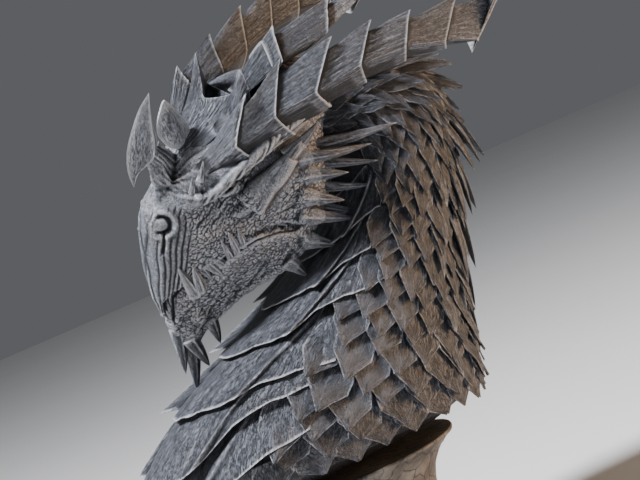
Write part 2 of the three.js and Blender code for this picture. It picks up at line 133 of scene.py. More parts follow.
def turns(count):
    """Angles round a circle, in radians."""
    return np.linspace(0, 2 * np.pi, count, endpoint=False)


def cubic_between(a, b, c, d, share, tension=0.5):
    """Catmull-Rom values between b and c, whose neighbours are a and d."""
    slope_in = (c - a) * tension
    slope_out = (d - b) * tension
    cubic = 2 * b - 2 * c + slope_in + slope_out
    square = -3 * b + 3 * c - 2 * slope_in - slope_out
    return ((cubic * share + square) * share + slope_in) * share + b


# Meshes

def piece_from(name, points, faces, material, smooth=True, grain=None, rim=None):
    """A mesh object from points in the carving's millimetres."""
    mesh = bpy.data.meshes.new(name)
    points = (np.asarray(points, float) + [0, 0, SEAT]) * MM
    mesh.from_pydata(points.tolist(), [], [list(map(int, face)) for face in faces])
    mesh.validate()
    mesh.update()
    if grain is not None:
        write_grain(mesh, grain)
        write_rim_and_painted_shade(mesh, np.zeros(len(points)) if rim is None else rim)
    bpy.context.scene.collection.objects.link(bpy.data.objects.new(name, mesh))
    piece = bpy.data.objects[name]
    if material:
        mesh.materials.append(material)
    if smooth:
        mesh.shade_smooth()
    else:
        mesh.shade_flat()
    return piece


def write_grain(mesh, grain):
    """Millimetres across and along a piece's grain, at each vertex."""
    layer = mesh.attributes.new("grain", "FLOAT_VECTOR", "POINT")
    layer.data.foreach_set("vector", np.asarray(grain).ravel())


def write_rim_and_painted_shade(mesh, rim):
    """Nearness to a worn edge, at each vertex: 1 on it, 0 far from it, and below 0 where shade is painted,
    in hollows, gaps and undersides.
    """
    # The attribute keeps the name rim; its values below 0 are painted shade.
    mesh.attributes.new("rim", "FLOAT", "POINT").data.foreach_set("value", np.asarray(rim, float).ravel())


def grid_grain(grid, seed):
    """Distances across and along a grid of points."""
    across = np.linalg.norm(np.diff(grid, axis=1), axis=2)
    wide = np.concatenate([[0], np.cumsum(across.max(0))])
    middle = grid.mean(1)
    along = np.concatenate([[0], np.cumsum(np.linalg.norm(np.diff(middle, axis=0), axis=1))])
    place = np.broadcast_arrays(wide[None, :], along[:, None], np.array([[seed * 3.7 % 29.0]]))
    return np.stack(place, axis=-1).reshape(-1, 3)


def tube_faces(rings, around):
    """Faces of a tube of rings, closed at both ends."""
    faces = []
    for i in range(rings - 1):
        for j in range(around):
            k = (j + 1) % around
            a = i * around
            b = a + around
            faces.append((a + j, a + k, b + k, b + j))
    last = (rings - 1) * around
    faces.append(tuple(reversed(range(around))))
    faces.append(tuple(range(last, last + around)))
    return faces


class Shells:
    """Collects closed shells that become one piece."""

    def __init__(self):
        self.points = []
        self.faces = []
        self.grain = []
        # Nearness to worn edges, and painted shade where below 0.
        self.rim = []
        self.count = 0

    def add(self, points, faces, grain=None, rim=None):
        points = np.asarray(points, float).reshape(-1, 3)
        self.points.append(points)
        self.grain.append(points * 0 if grain is None else grain)
        self.rim.append(np.zeros(len(points)) if rim is None else np.asarray(rim, float).ravel())
        self.faces += [tuple(self.count + i for i in face) for face in faces]
        self.count += len(points)

    def tube(self, rings, rim=None):
        rings = np.asarray(rings, float)
        self.add(rings, tube_faces(rings.shape[0], rings.shape[1]), grid_grain(rings, len(self.points)), rim)

    def sheet(self, top, thickness, outward, rim=None):
        """A closed shell under a grid of points, thin at its edges as asked."""
        flat = grid_grain(top, len(self.points))
        near = np.zeros(top.shape[:2]) if rim is None else rim
        both = np.concatenate([near.ravel(), near.ravel() * 0])
        self.add(*sheet_shell(top, thickness, outward), np.concatenate([flat, flat]), both)

    def piece(self, name, material, smooth=True):
        grain, rim = np.concatenate(self.grain), np.concatenate(self.rim)
        made = piece_from(name, np.concatenate(self.points), self.faces, material, smooth, grain, rim)
        face_out(made)
        return made


def closed_shells(shape):
    """The faces of each closed shell in a mesh."""
    shape.faces.index_update()
    seen = set()
    for first in shape.faces:
        if first.index in seen:
            continue
        seen.add(first.index)
        group = [first]
        for face in group:
            near = [other for edge in face.edges for other in edge.link_faces]
            for other in near:
                if other.index not in seen:
                    seen.add(other.index)
                    group.append(other)
        yield group


def inside_out(group):
    """Whether a closed shell's faces look inwards, by its signed volume."""
    volume = 0.0
    for face in group:
        first, *others = [corner.co for corner in face.verts]
        volume += sum(first.dot(a.cross(b)) for a, b in zip(others, others[1:]))
    return volume < 0


def face_out(piece):
    """Turns each closed shell's faces outwards."""
    shape = bmesh.new()
    shape.from_mesh(piece.data)
    bmesh.ops.remove_doubles(shape, verts=shape.verts, dist=1e-7)
    bmesh.ops.recalc_face_normals(shape, faces=shape.faces)
    for group in list(closed_shells(shape)):
        if inside_out(group):
            bmesh.ops.reverse_faces(shape, faces=group)
    shape.to_mesh(piece.data)
    shape.free()
    piece.data.set_sharp_from_angle(angle=CRISP_ANGLE)


def sheet_shell(top, thickness, outward):
    """A closed shell under a grid of points, as points and faces."""
    rows, columns = top.shape[:2]
    under = top - outward * thickness
    points = np.concatenate([top.reshape(-1, 3), under.reshape(-1, 3)])
    half = rows * columns
    faces = []
    for i in range(rows - 1):
        for j in range(columns - 1):
            a = i * columns + j
            quad = (a, a + 1, a + columns + 1, a + columns)
            faces.append(quad)
            faces.append(tuple(half + q for q in reversed(quad)))
    rim = list(range(columns))
    rim += [i * columns + columns - 1 for i in range(1, rows)]
    rim += [(rows - 1) * columns + j for j in reversed(range(columns - 1))]
    rim += [i * columns for i in reversed(range(1, rows - 1))]
    for a, b in zip(rim, rim[1:] + rim[:1]):
        faces.append((b, a, half + a, half + b))
    return points, faces


def curve_through(points, steps, closed=False, tension=0.5):
    """Catmull-Rom points along the first axis of an array."""
    points = np.asarray(points, float)
    count = len(points)
    where = np.linspace(0, count if closed else count - 1, steps, endpoint=not closed)
    low = np.floor(where).astype(int)
    if not closed:
        low = np.minimum(low, count - 2)
    share = (where - low).reshape((-1,) + (1,) * (points.ndim - 1))

    def at(i):
        return points[i % count] if closed else points[np.clip(i, 0, count - 1)]

    return cubic_between(at(low - 1), at(low), at(low + 1), at(low + 2), share, tension)


# Neck

NECK_FRONT = np.array(
    [[-77, 8.5], [-80, 22], [-58, 42], [-30, 57.5], [-6.5, 68.5], [12.5, 79], [28.5, 92.5],
     [34.5, 107], [28, 118], [16, 119]]
)
NECK_BACK = np.array(
    [[66, 6.5], [71, 19], [74, 37.5], [79, 56.5], [85.5, 79], [92, 99], [96.5, 117.5],
     [94, 136], [78, 147], [57, 151]]
)
NECK_HALF = np.array([44, 46, 42, 38, 34, 31, 29, 27, 24, 19.0])
NECK_LAST = len(NECK_HALF) - 1


def along_neck(values, place):
    """A value of the neck's sections at places that may lie between two of them."""
    low = np.minimum(np.floor(place).astype(int), NECK_LAST - 1)
    share = place - low
    if values.ndim > 1:
        share = share[..., None]

    def near(i):
        return values[np.clip(i, 0, NECK_LAST)]

    return cubic_between(near(low - 1), near(low), near(low + 1), near(low + 2), share)


def neck_point(place, turn, lift=0.0):
    """Points of the neck: turn 0 is the throat, 180 the back, plus is the dragon's left."""
    place, turn, lift = np.broadcast_arrays(
        np.asarray(place, float), np.asarray(turn, float), np.asarray(lift, float)
    )
    angle = np.radians(turn)
    front = along_neck(NECK_FRONT, place)
    back = along_neck(NECK_BACK, place)
    half = along_neck(NECK_HALF, place)
    middle = (front + back) / 2
    forward = (front - back) / 2
    size = np.linalg.norm(forward, axis=-1)
    flat = middle + forward * np.cos(angle)[..., None]
    outward = np.stack(
        [forward[..., 0] / size * np.cos(angle), -np.sin(angle), forward[..., 1] / size * np.cos(angle)],
        axis=-1,
    )
    point = np.stack([flat[..., 0], -half * np.sin(angle), flat[..., 1]], axis=-1)
    return point + outward * lift[..., None]


def neck_outward(place, turn):
    """Unit normals of the neck's surface."""
    step = 0.02
    down = neck_point(place + step, turn) - neck_point(place - step, turn)
    aside = neck_point(place, turn + 1) - neck_point(place, turn - 1)
    normal = np.cross(aside, down)
    normal /= np.linalg.norm(normal, axis=-1)[..., None]
    out = neck_point(place, turn, 1.0) - neck_point(place, turn, 0.0)
    return normal * np.sign(np.sum(normal * out, axis=-1))[..., None]


def scales_begin(place):
    """The turn, in degrees from the throat, where the scales start beside the plates."""
    return np.interp(place, [0, 4.5, 6, 7.5], [56, 77, 72, 58])


def smooth_hide():
    """The neck under its scales, closed at the foot and inside the skull."""
    around, along = 96, 64
    turn = np.linspace(-180, 180, around, endpoint=False)
    place = np.linspace(0, NECK_LAST, along)
    inset = np.where(np.abs(turn) < 60, -3.4, -1.2)
    rings = [neck_point(p, turn, inset - 5.5 * (1 - ramp(p, 0.0, 0.9))) for p in place]
    under = neck_point(0.0, turn, -17.0)
    under[:, 2] = 3.0
    shells = Shells()
    shells.tube([under * [0.9, 0.9, 1], under] + rings)
    return shells.piece("neck_hide", paint_bust)


# Scales of the neck, laid by a node tree that copies a few carved kinds

def scale_kind(kind):
    """One scale, a unit wide, a unit long towards its tip, a unit high at it.

    It is drawn at its usual size, which gives its grain the right scale, and then brought to a unit.
    """
    shape_rng = np.random.default_rng(100 + kind)
    down = np.array([0, 0.3, 0.55, 0.8, 1.0])[:, None]
    across = np.array([-1, -0.45, 0, 0.45, 1.0])[None, :]
    half = np.interp(down, [0, 0.3, 0.55, 1], [0.46, 0.54, 0.53, 0.03])
    skew = shape_rng.uniform(-0.1, 0.1)
    ridge = shape_rng.uniform(-0.25, 0.25)
    height = -0.2 + 1.1 * down - 0.3 * np.abs(across - ridge) * ramp(down, 0.0, 0.6)
    height = height + 0.16 * np.abs(across) ** 3 * ramp(down, 0.2, 0.6)
    height = height + shape_rng.uniform(-0.07, 0.07, height.shape)
    x = across * half + skew * down
    y = down + shape_rng.uniform(-0.03, 0.03, x.shape)
    top = np.stack([x, y, height], axis=-1)
    under = np.interp(down, [0, 0.5, 1], [0.5, 0.4, 0.16]) * (1 - 0.5 * np.abs(across))
    shells = Shells()
    near = np.maximum(np.abs(across) + 0 * down, (down - 0.55) / 0.45 * 0.6)
    full = top * [SCALE_WIDTH, SCALE_LENGTH, 1]
    shells.sheet(full, under[..., None], np.array([0, 0, 1.0]), near)
    grain = np.concatenate(shells.grain) + [kind * 37.0, 0, kind * 5.0]
    rim = np.concatenate(shells.rim)
    points = np.concatenate(shells.points)
    made = piece_from(f"scale_kind_{kind}", points, shells.faces, None, False, grain, rim)
    for vertex in made.data.vertices:
        place = (vertex.co / MM) - Vector((0, 0, SEAT))
        vertex.co = (place.x / SCALE_WIDTH, place.y / SCALE_LENGTH, place.z)
    face_out(made)
    return made


def copies_tree(material):
    """A tree that puts one of the kinds on each point, turned and sized by its attributes."""
    tree = bpy.data.node_groups.new("carved_copies", "GeometryNodeTree")
    tree.interface.new_socket("Points", in_out="INPUT", socket_type="NodeSocketGeometry")
    tree.interface.new_socket("Kinds", in_out="INPUT", socket_type="NodeSocketCollection")
    tree.interface.new_socket("Copies", in_out="OUTPUT", socket_type="NodeSocketGeometry")
    nodes = tree.nodes
    inward = nodes.new("NodeGroupInput")
    outward = nodes.new("NodeGroupOutput")
    chosen = nodes.new("GeometryNodeCollectionInfo")
    chosen.inputs["Separate Children"].default_value = True
    chosen.inputs["Reset Children"].default_value = True
    lay = nodes.new("GeometryNodeInstanceOnPoints")
    lay.inputs["Pick Instance"].default_value = True
    turned = named(nodes, "turned", "FLOAT_VECTOR")
    sized = named(nodes, "sized", "FLOAT_VECTOR")
    kind = named(nodes, "kind", "INT")
    rotation = nodes.new("FunctionNodeEulerToRotation")
    real = nodes.new("GeometryNodeRealizeInstances")
    finish = nodes.new("GeometryNodeSetMaterial")
    finish.inputs["Material"].default_value = material
    link = tree.links.new
    link(inward.outputs["Points"], lay.inputs["Points"])
    link(inward.outputs["Kinds"], chosen.inputs["Collection"])
    link(chosen.outputs["Instances"], lay.inputs["Instance"])
    link(kind, lay.inputs["Instance Index"])
    link(turned, rotation.inputs[0])
    link(rotation.outputs[0], lay.inputs["Rotation"])
    link(sized, lay.inputs["Scale"])
    link(lay.outputs["Instances"], real.inputs["Geometry"])
    link(real.outputs["Geometry"], finish.inputs["Geometry"])
    link(finish.outputs["Geometry"], outward.inputs["Copies"])
    return tree


def named(nodes, attribute, kind):
    node = nodes.new("GeometryNodeInputNamedAttribute")
    node.data_type = kind
    node.inputs["Name"].default_value = attribute
    return node.outputs["Attribute"]


def lay_copies(name, kinds, places, frames, sizes, chosen, material):
    """Copies of carved kinds as one plain mesh: frames holds across, along and out vectors."""
    points = piece_from(name + "_points", places, [], None)
    eulers = [Matrix(np.stack(axes, axis=1).tolist()).to_euler() for axes in zip(*frames)]
    layers = [
        ("turned", "FLOAT_VECTOR", "vector", np.array([tuple(e) for e in eulers]).ravel()),
        ("sized", "FLOAT_VECTOR", "vector", (np.asarray(sizes) * MM).ravel()),
        ("kind", "INT", "value", np.asarray(chosen, int)),
    ]
    for label, form, field, values in layers:
        points.data.attributes.new(label, form, "POINT").data.foreach_set(field, values)
    shelf = bpy.data.collections.new(name + "_kinds")
    for kind in kinds:
        shelf.objects.link(kind)
        bpy.context.scene.collection.objects.unlink(kind)
    tree = copies_tree(material)
    modifier = points.modifiers.new("copies", "NODES")
    modifier.node_group = tree
    for socket in tree.interface.items_tree:
        if socket.name == "Kinds":
            modifier[socket.identifier] = shelf
    graph = bpy.context.evaluated_depsgraph_get()
    mesh = bpy.data.meshes.new_from_object(points.evaluated_get(graph), depsgraph=graph)
    mesh.name = name
    for label, *_ in layers:
        if label in mesh.attributes:
            mesh.attributes.remove(mesh.attributes[label])
    made = bpy.data.objects.new(name, mesh)
    bpy.context.scene.collection.objects.link(made)
    bpy.data.objects.remove(points)
    for kind in kinds:
        bpy.data.objects.remove(kind)
    bpy.data.collections.remove(shelf)
    return made


def scale_spots(spacing, step):
    """Where the scales lie, as places and turns, in rows set off by half a scale."""
    place, turn = [], []
    for row in range(SCALE_ROWS):
        at = FIRST_ROW + spacing * row
        for column in range(SCALES_ROUND):
            spot = -180 + step * (column + (row % 2) / 2)
            if abs(spot) < scales_begin(at) - 2:
                continue
            place.append(at + rng.uniform(-UNEVEN_PLACE, UNEVEN_PLACE))
            turn.append(spot + rng.uniform(-UNEVEN_TURN, UNEVEN_TURN))
    return np.array(place), np.array(turn)


def neck_scales():
    """Lapped scales, which grow into long feathers on the nape."""
    spacing = (LAST_ROW - FIRST_ROW) / (SCALE_ROWS - 1)
    step = 360 / SCALES_ROUND
    place, turn = scale_spots(spacing, step)
    tip = neck_point(place - spacing * 0.5, turn, 0.6)
    root = neck_point(place + spacing * 1.25, turn, -0.4)
    along = tip - root
    length = np.linalg.norm(along, axis=1)
    along /= length[:, None]
    out = neck_outward(place, turn)
    across = np.cross(along, out)
    across /= np.linalg.norm(across, axis=1)[:, None]
    out = np.cross(across, along)
    swing = np.radians(rng.normal(0, UNEVEN_SWING, len(place)))[:, None]
    ahead, aside = along, across
    along = ahead * np.cos(swing) + aside * np.sin(swing)
    across = aside * np.cos(swing) - ahead * np.sin(swing)
    width = np.linalg.norm(neck_point(place, turn + step / 2) - neck_point(place, turn - step / 2), axis=1)
    feather = ramp(np.abs(turn), 105, 150) * ramp(place, 3.5, 6.5)
    length = length * rng.uniform(0.98, 1.18, len(place)) * (1 + 0.75 * feather)
    lift = 2.7 + rng.uniform(-0.5, 0.9, len(width)) + 2.2 * feather
    sizes = np.stack([width * (1.12 + 0.3 * feather), length, lift], axis=1)
    kinds = [scale_kind(kind) for kind in range(SCALE_KINDS)]
    chosen = rng.integers(0, SCALE_KINDS, len(place))
    return lay_copies("neck_scales", kinds, root, (across, along, out), sizes, chosen, paint_bust)


# Throat plates: the lower edge of each as pairs of a turn and a place on the neck

THROAT_PLATES = [
    ([[0, 0.12], [30, 0.25], [45, 0.75], [58, 1.1], [72, 1.25]], 1.25),
    ([[0, 1.02], [31, 1.25], [42, 1.78], [54, 1.92], [68, 1.95]], 1.4),
    ([[0, 2.12], [37, 2.22], [46, 2.36], [62, 2.3], [76, 2.25]], 1.3),
    ([[0, 3.1], [44, 3.2], [53, 3.52], [66, 3.52], [80, 3.45]], 1.3),
    ([[0, 4.2], [42, 4.3], [54, 4.5], [72, 4.45]], 1.2),
    ([[0, 5.3], [44, 5.4], [56, 5.5], [70, 5.4]], 1.1),
]
# Height of the fin on each plate's right side, and of the fins on the left
FIN_HEIGHTS = [3, 5, 12, 12, 9, 5]
LEFT_FIN_HEIGHT = 4.0
PLATE_LIFT = 3.6
PLATE_THICKNESS = 2.2
SECTION_RISE = 17


def throat_plates():
    """Broad ragged plates across the throat, each with a fin on either side."""
    shells = Shells()
    columns, rows = 121, 26
    for number, (edge, depth) in enumerate(THROAT_PLATES):
        half = curve_through(np.array(edge, float), 61, tension=0.1)
        line = np.concatenate([half[:0:-1] * [-1, 1], half])
        most = half[-1, 0]
        turn = np.broadcast_to(line[None, :, 0], (rows, columns))
        share = np.linspace(0, 1, rows)[:, None]
        side = np.abs(turn) / most
        up = (share * 60 + 0 * turn).ravel()
        flat = np.stack([turn.ravel(), up, np.full(turn.size, number * 31.0)], axis=1)
        ragged = cloud(flat, 6.0, 3).reshape(turn.shape) * 0.035 * (1 - share)
        place = line[None, :, 1] + depth * share + ragged
        lift = PLATE_LIFT * (1 - 0.6 * side**3) * (1 - share) ** 0.8 - 3.0 * share
        corner = edge[1][0] / most
        tall = np.where(turn < 0, FIN_HEIGHTS[number], LEFT_FIN_HEIGHT)
        crease = bump_at(side, corner + 0.3 * share, 0.04) * (1 - share) ** 0.8 * tall
        lift = lift + crease - 0.9 * bump_at(side, corner * 0.55 - 0.2 * share, 0.16) * (1 - share)
        lift = lift + 0.5 * bump_at(share, 0.0, 0.05)
        lift = lift + cloud(flat * [1, 0.5, 1], 5.0, 5).reshape(turn.shape) * 0.35
        lift = lift + 0.3 * cloud(flat * [1.5, 0.16, 1], 2.6, 6).reshape(turn.shape)
        narrowed = turn * (1 - 0.04 * share)
        top = neck_point(place, narrowed, lift)
        out = neck_outward(place, narrowed)
        edge_thin = np.interp(share, [0, 0.02, 0.3], [0.3, 0.8, PLATE_THICKNESS])
        near = np.clip(1 - share * depth * SECTION_RISE / WEAR_REACH, 0, 1) + 0 * turn
        shells.sheet(top, (edge_thin + 0 * turn)[..., None], out, near)
    return shells.piece("throat_plates", paint_bust)


# Blades: spines, spikes, quills, teeth

def blade(root, tip, width, thickness, out, curl=0.0, steps=10):
    """Rings of a ridged blade from its root to its tip."""
    root, tip, out = (np.asarray(p, float) for p in (root, tip, out))
    axis = tip - root
    across = np.cross(axis, out)
    across /= np.linalg.norm(across)
    ridge = np.cross(across, axis)
    ridge /= np.linalg.norm(ridge)
    angle = turns(16)
    round_share = np.abs(np.cos(angle)) ** 1.25 * np.sign(np.cos(angle))
    rise_share = np.abs(np.sin(angle)) ** 0.8 * np.sign(np.sin(angle))
    keel = 1 + 0.25 * (np.abs(np.sin(angle)) > 0.99)
    rings = []
    for share in np.linspace(0, 1, steps):
        swell = (1 - share) ** 0.8 * (1 + 0.3 * share) + 0.012
        flute = 1 + 0.05 * np.cos(3 * angle) * (1 - share)
        middle = root + axis * share + ridge * curl * np.sin(np.pi * share)
        ring = middle + across * (round_share * swell * flute)[:, None] * width / 2
        rings.append(ring + ridge * (rise_share * keel * swell * flute)[:, None] * thickness / 2)
    return rings


# Barbs beside the spines: rows down from the first, their turns, and the share that is left out
BARB_ROWS = 16
BARB_FIRST = 7.6
BARB_SPACING = 0.42
BARB_TURNS = (150, 128)
BARB_GAPS = 0.4
# Place of each spine's root, its tip forward and up, and its width
BACK_SPINES = [
    (7.9, (114, 122.7), 15), (7.2, (109.5, 112.3), 11), (6.4, (112, 90.7), 10), (5.5, (99, 72.5), 9),
    (4.6, (88.5, 50), 9), (3.8, (81.5, 35), 9), (2.8, (76.5, 18.5), 9), (1.9, (72, 7), 9),
]


def back_spines():
    """The spines along the back, in up to five files, and smaller barbs beside them."""
    shells = Shells()
    for place, (x, z), width in BACK_SPINES:
        for side, aside in ((0, 0), (18, 1), (-18, 1), (34, 2), (-34, 2)):
            if aside and place < 6 - aside:
                continue
            root = neck_point(place + 0.15 - 0.3 * aside, 180 - side, -2.0)
            tip = np.array([x - 9 * aside, root[1] * 1.35, z - 1 * aside])
            out = neck_outward(place, 180 - side)
            wide = width * (1.5 - 0.14 * aside)
            shells.tube(blade(root, tip, wide, 4.0, out, 1.6 if aside else 1.2, 14))
    for row in range(BARB_ROWS):
        place = BARB_FIRST - row * BARB_SPACING
        for side in (-1, 1):
            for turn in BARB_TURNS:
                if rng.uniform() < BARB_GAPS:
                    continue
                spot = side * (turn + rng.uniform(-5, 5))
                root = neck_point(place, spot, -1.0)
                tip = neck_point(place - rng.uniform(0.7, 1.0), spot, rng.uniform(3.0, 5.0))
                out = neck_outward(place, spot)
                shells.tube(blade(root, tip, rng.uniform(8, 11), 2.6, out, 0.8, 6))
    return shells.piece("back_spines", paint_bust)


# Head: x runs forward from the nape to the beak, y to the dragon's left, z up

def head_axes():
    forward = np.array([-math.cos(HEAD_PITCH), 0, -math.sin(HEAD_PITCH)])
    level = np.array([0, -1.0, 0])
    upright = np.cross(forward, level)
    left = level * math.cos(HEAD_ROLL) - upright * math.sin(HEAD_ROLL)
    up = upright * math.cos(HEAD_ROLL) + level * math.sin(HEAD_ROLL)
    return np.stack([forward, left, up])


HEAD_AXES = head_axes()


def posed(points):
    """Points of the head in the bust's frame."""
    return HEAD_PLACE + np.asarray(points, float) @ HEAD_AXES


def unposed(points):
    return (points - HEAD_PLACE) @ HEAD_AXES.T


UPPER_HEAD = [
    [58.8, [0, -13], [2, -13.5], [2.8, -15], [3.2, -17], [3.4, -19], [3, -21], [2.2, -23.5], [0, -24]],
    [56.6, [0, -2], [3.6, -4], [5.4, -7], [6.2, -10], [6.6, -13], [6.4, -17], [4.6, -21.5], [0, -21]],
    [52, [0, 11], [4.6, 9.5], [7, 6], [8.4, 1], [9.2, -4], [9.4, -11], [8, -19.5], [0, -18]],
    [47, [0, 17.2], [6, 15.5], [8.4, 12.5], [9.6, 8], [11, 1], [12, -8], [11, -17.5], [0, -16]],
    [40, [0, 21], [7, 19.5], [11, 15], [12.6, 9], [14.5, 2], [15.5, -6], [14.2, -15], [0, -14]],
    [33, [0, 25], [9, 22.5], [16, 13.8], [14, 10], [16.4, 3], [18, -4], [17.3, -11.8], [0, -12]],
    [27, [0, 29.5], [10, 27], [19.8, 14], [14, 11.5], [18, 3], [20, -3], [19.5, -10], [0, -11]],
    [20, [0, 32.5], [13, 29.5], [24, 17.7], [15, 15], [19.8, 2], [22, -3], [21, -9.2], [0, -11]],
    [9, [0, 38], [17, 35], [28, 22], [17, 18], [24.5, 6], [26, -2], [23.5, -10], [0, -12]],
    [-2, [0, 41], [21, 37], [29.5, 24.5], [20, 19.5], [28, 11.5], [28.5, -1], [26, -13], [0, -15]],
    [-12, [0, 41], [22, 37], [28.5, 25.5], [22, 18], [26, 10], [27, -3], [23, -16], [0, -20]],
    [-23, [0, 39], [18, 35], [22, 25], [19, 17], [20, 9], [20, -2], [16, -12], [0, -18]],
    [-38, [0, 35], [11, 32], [14, 25], [13, 17], [12, 10], [11, 3], [8, -3], [0, -6]],
    [-41.6, [0, 31], [7, 29.6], [9.4, 24.6], [9, 17], [8.4, 10.6], [7.4, 5.2], [5, 1.4], [0, -0.6]],
    [-43, [0, 23], [2, 22], [3, 19.6], [3, 16.6], [2.8, 14], [2.4, 12], [1.6, 10.6], [0, 10]],
]
LOWER_JAW = [
    [58.2, [0, -29], [2, -29.5], [2.6, -35], [1.6, -41], [0, -42]],
    [54, [0, -20], [4, -25.5], [5.6, -34], [4.4, -44], [0, -48]],
    [50, [0, -17], [9, -21.4], [8.8, -31], [5.5, -44], [0, -50]],
    [45, [0, -15], [12.6, -19.4], [11.8, -28], [8, -40.5], [0, -43.5]],
    [39, [0, -13], [15.2, -16.4], [14.6, -25], [9.5, -38], [0, -37]],
    [31, [0, -10], [20, -10.6], [18.4, -20], [13, -33], [0, -30]],
    [22, [0, -10], [24.2, -7.6], [22.8, -17], [18.2, -29.6], [0, -24]],
    [13, [0, -9], [26.2, -9], [26, -18], [24.4, -27], [0, -20]],
    [3, [0, -9], [27.4, -12], [28.4, -18], [25, -24.5], [0, -18]],
    [-8, [0, -6], [26, -8], [27, -14], [21, -20], [0, -17]],
    [-18, [0, -2], [19, -5], [20, -10], [14, -15], [0, -13]],
]


def smooth_section_rings(sections, along, around):
    """Fine rings through half sections and their mirror image."""
    rings = []
    for x, *half in sections:
        left = [[x, y, z] for y, z in half]
        right = [[x, -y, z] for y, z in half[-2:0:-1]]
        rings.append(left + right)
    fine = curve_through(np.array(rings, float), along, tension=0.5)
    return np.swapaxes(curve_through(np.swapaxes(fine, 0, 1), around, True, 0.42), 0, 1)


def ball_rings(around, steps, cap):
    """Rings of a unit ball, flat at its poles up to the cap's angle."""
    turn = turns(around)
    rings = []
    for angle in np.linspace(cap, np.pi - cap, steps):
        flat = np.stack([np.cos(turn), np.sin(turn)], 1) * np.sin(angle)
        rings.append(np.column_stack([flat, turn * 0 + np.cos(angle)]))
    return np.array(rings)


def lump(shells, middle, radii):
    """A closed ellipsoid of the skin, mirrored to both sides."""
    for side in (1, -1):
        shells.tube(np.array(middle) * [1, side, 1] + ball_rings(20, 10, 0.12) * radii)


def ridge_tube(shells, path, radii, around=14):
    """A rounded ridge along a path of the head's left side, and its mirror image."""
    line = curve_through(np.array(path, float), 10 * len(path))
    thick = np.interp(np.linspace(0, 1, len(line)), np.linspace(0, 1, len(radii)), radii)
    for side in (1, -1):
        spots = line * [1, side, 1]
        tangent = np.gradient(spots, axis=0)
        tangent /= np.linalg.norm(tangent, axis=1)[:, None]
        first = np.cross(tangent, [0, 0, 1.0])
        first /= np.linalg.norm(first, axis=1)[:, None]
        second = np.cross(tangent, first)
        turn = turns(around)
        ring = first[:, None] * np.cos(turn)[None, :, None] + second[:, None] * np.sin(turn)[None, :, None]
        shells.tube(spots[:, None] + ring * thick[:, None, None])


# The overhanging brow, the cheekbone and the folds of the face, along the left side
BROW = [
    [41, 4, 20.2], [38.6, 8.4, 18.6], [34.4, 13.6, 16.2], [28.5, 18, 15.6], [20.1, 23, 20],
    [8.7, 27, 24.6], [-6.1, 29, 28], [-18, 30, 29],
]
CHEEKBONE = [[24, 17.6, 1.5], [19, 20.4, 2.6], [12, 23.6, 5.2], [3, 26.6, 10], [-4, 28.6, 15.5]]
MOUTH_FOLD = [[16, 22.6, -6], [9, 25, -7.2], [4, 26.4, -9.5], [3, 26.8, -14]]
LIP = [[50, 8.6, -18.6], [41.6, 13.6, -14.6], [30.7, 18.4, -10.6], [21.3, 21.4, -8.2], [12.9, 23.6, -8.6]]
JAW_EDGE = [
    [46, 8.6, -39], [37, 10.6, -36], [28, 15.4, -31.4], [20, 20.4, -28.4], [13, 24.6, -26.6], [4, 27, -23],
]
EYE = np.array([18.5, 18.6, 14.4])
EYE_DEPTH = 3.4
EYE_RADIUS = 4.0
NOSTRIL = np.array([49.0, 0.0, 10.4])

# Each ridge with its radii, the lumps of the chin and under the eye, and the nose horn's stem
FACE_RIDGES = [
    (BROW, [0.6, 0.8, 1.1, 1.3, 1.6, 1.8, 1.9, 1.5]), (CHEEKBONE, [1.2, 2.2, 2.8, 3.2, 3.0]),
    (MOUTH_FOLD, [0.9, 1.5, 1.5, 0.8]), (LIP, [0.9, 1.2, 1.3, 1.3, 0.8]),
    (JAW_EDGE, [1.8, 1.6, 1.7, 1.8, 1.8, 1.2]),
]
FACE_LUMPS = [
    ([50.5, 3.0, -40], [5.4, 4.2, 7.0]), ([47.0, 6.6, -33], [5.0, 4.4, 5.6]),
    (EYE - [0, 3.0, 2.6], [5.6, 4.6, 2.4]),
]
NOSE_STEM = [
    [[38, 6.5, 19], [43.4, 0, 18], [38, -6.5, 19], [26, 0, 25]],
    [[36.5, 4, 30], [41.6, 0, 31.4], [36.5, -4, 30], [30.2, 0, 33]],
    [[37.6, 2.2, 36], [41.6, 0, 36], [37.6, -2.2, 36], [33.8, 0, 37]],
]

# Spikes as root, tip, width and thickness, on the left side
CHEEK_SPIKES = [
    [[11.8, 25, -24], [6.7, 28.6, -35], 7, 6], [[3, 26, -19.5], [-9.3, 32, -28.5], 7, 5],
    [[1, 27, -9], [-19.1, 34, -20.9], 7, 5], [[-2, 27, -1.5], [-16.6, 35, -10.3], 7, 5],
    [[-6, 26, 5.5], [-21.9, 36, 0], 7, 5], [[-6, 25, 13], [-21.5, 35, 9], 7, 5],
]
QUILLS = [
    [[-9, 22, 9.5], [-39.3, 30, 1.5], 6, 4], [[-18, 18, 9], [-51.5, 33, 5], 6.4, 4.4],
    [[-18, 18, 2], [-38.5, 33, -5.3], 5, 4], [[-13, 20, -6], [-32.4, 33, -13.1], 5, 4],
    [[-11, 20, -14], [-26.2, 32, -23.1], 5, 4],
]
FACE_SPIKES = [
    [[14, 19, 2], [-9.8, 31, 21], 13, 9], [[-4, 26, 15], [-20.1, 30, 23.4], 7, 5],
    [[54, 4, -43], [51.1, 5, -59], 7, 5], [[44, 7, -38], [44, 7.5, -51.2], 6.4, 4.6],
    [[29, 14, 21], [26, 16.5, 29], 3.6, 3], [[33.5, 12, 17], [32, 14.5, 24.5], 3.4, 3],
]
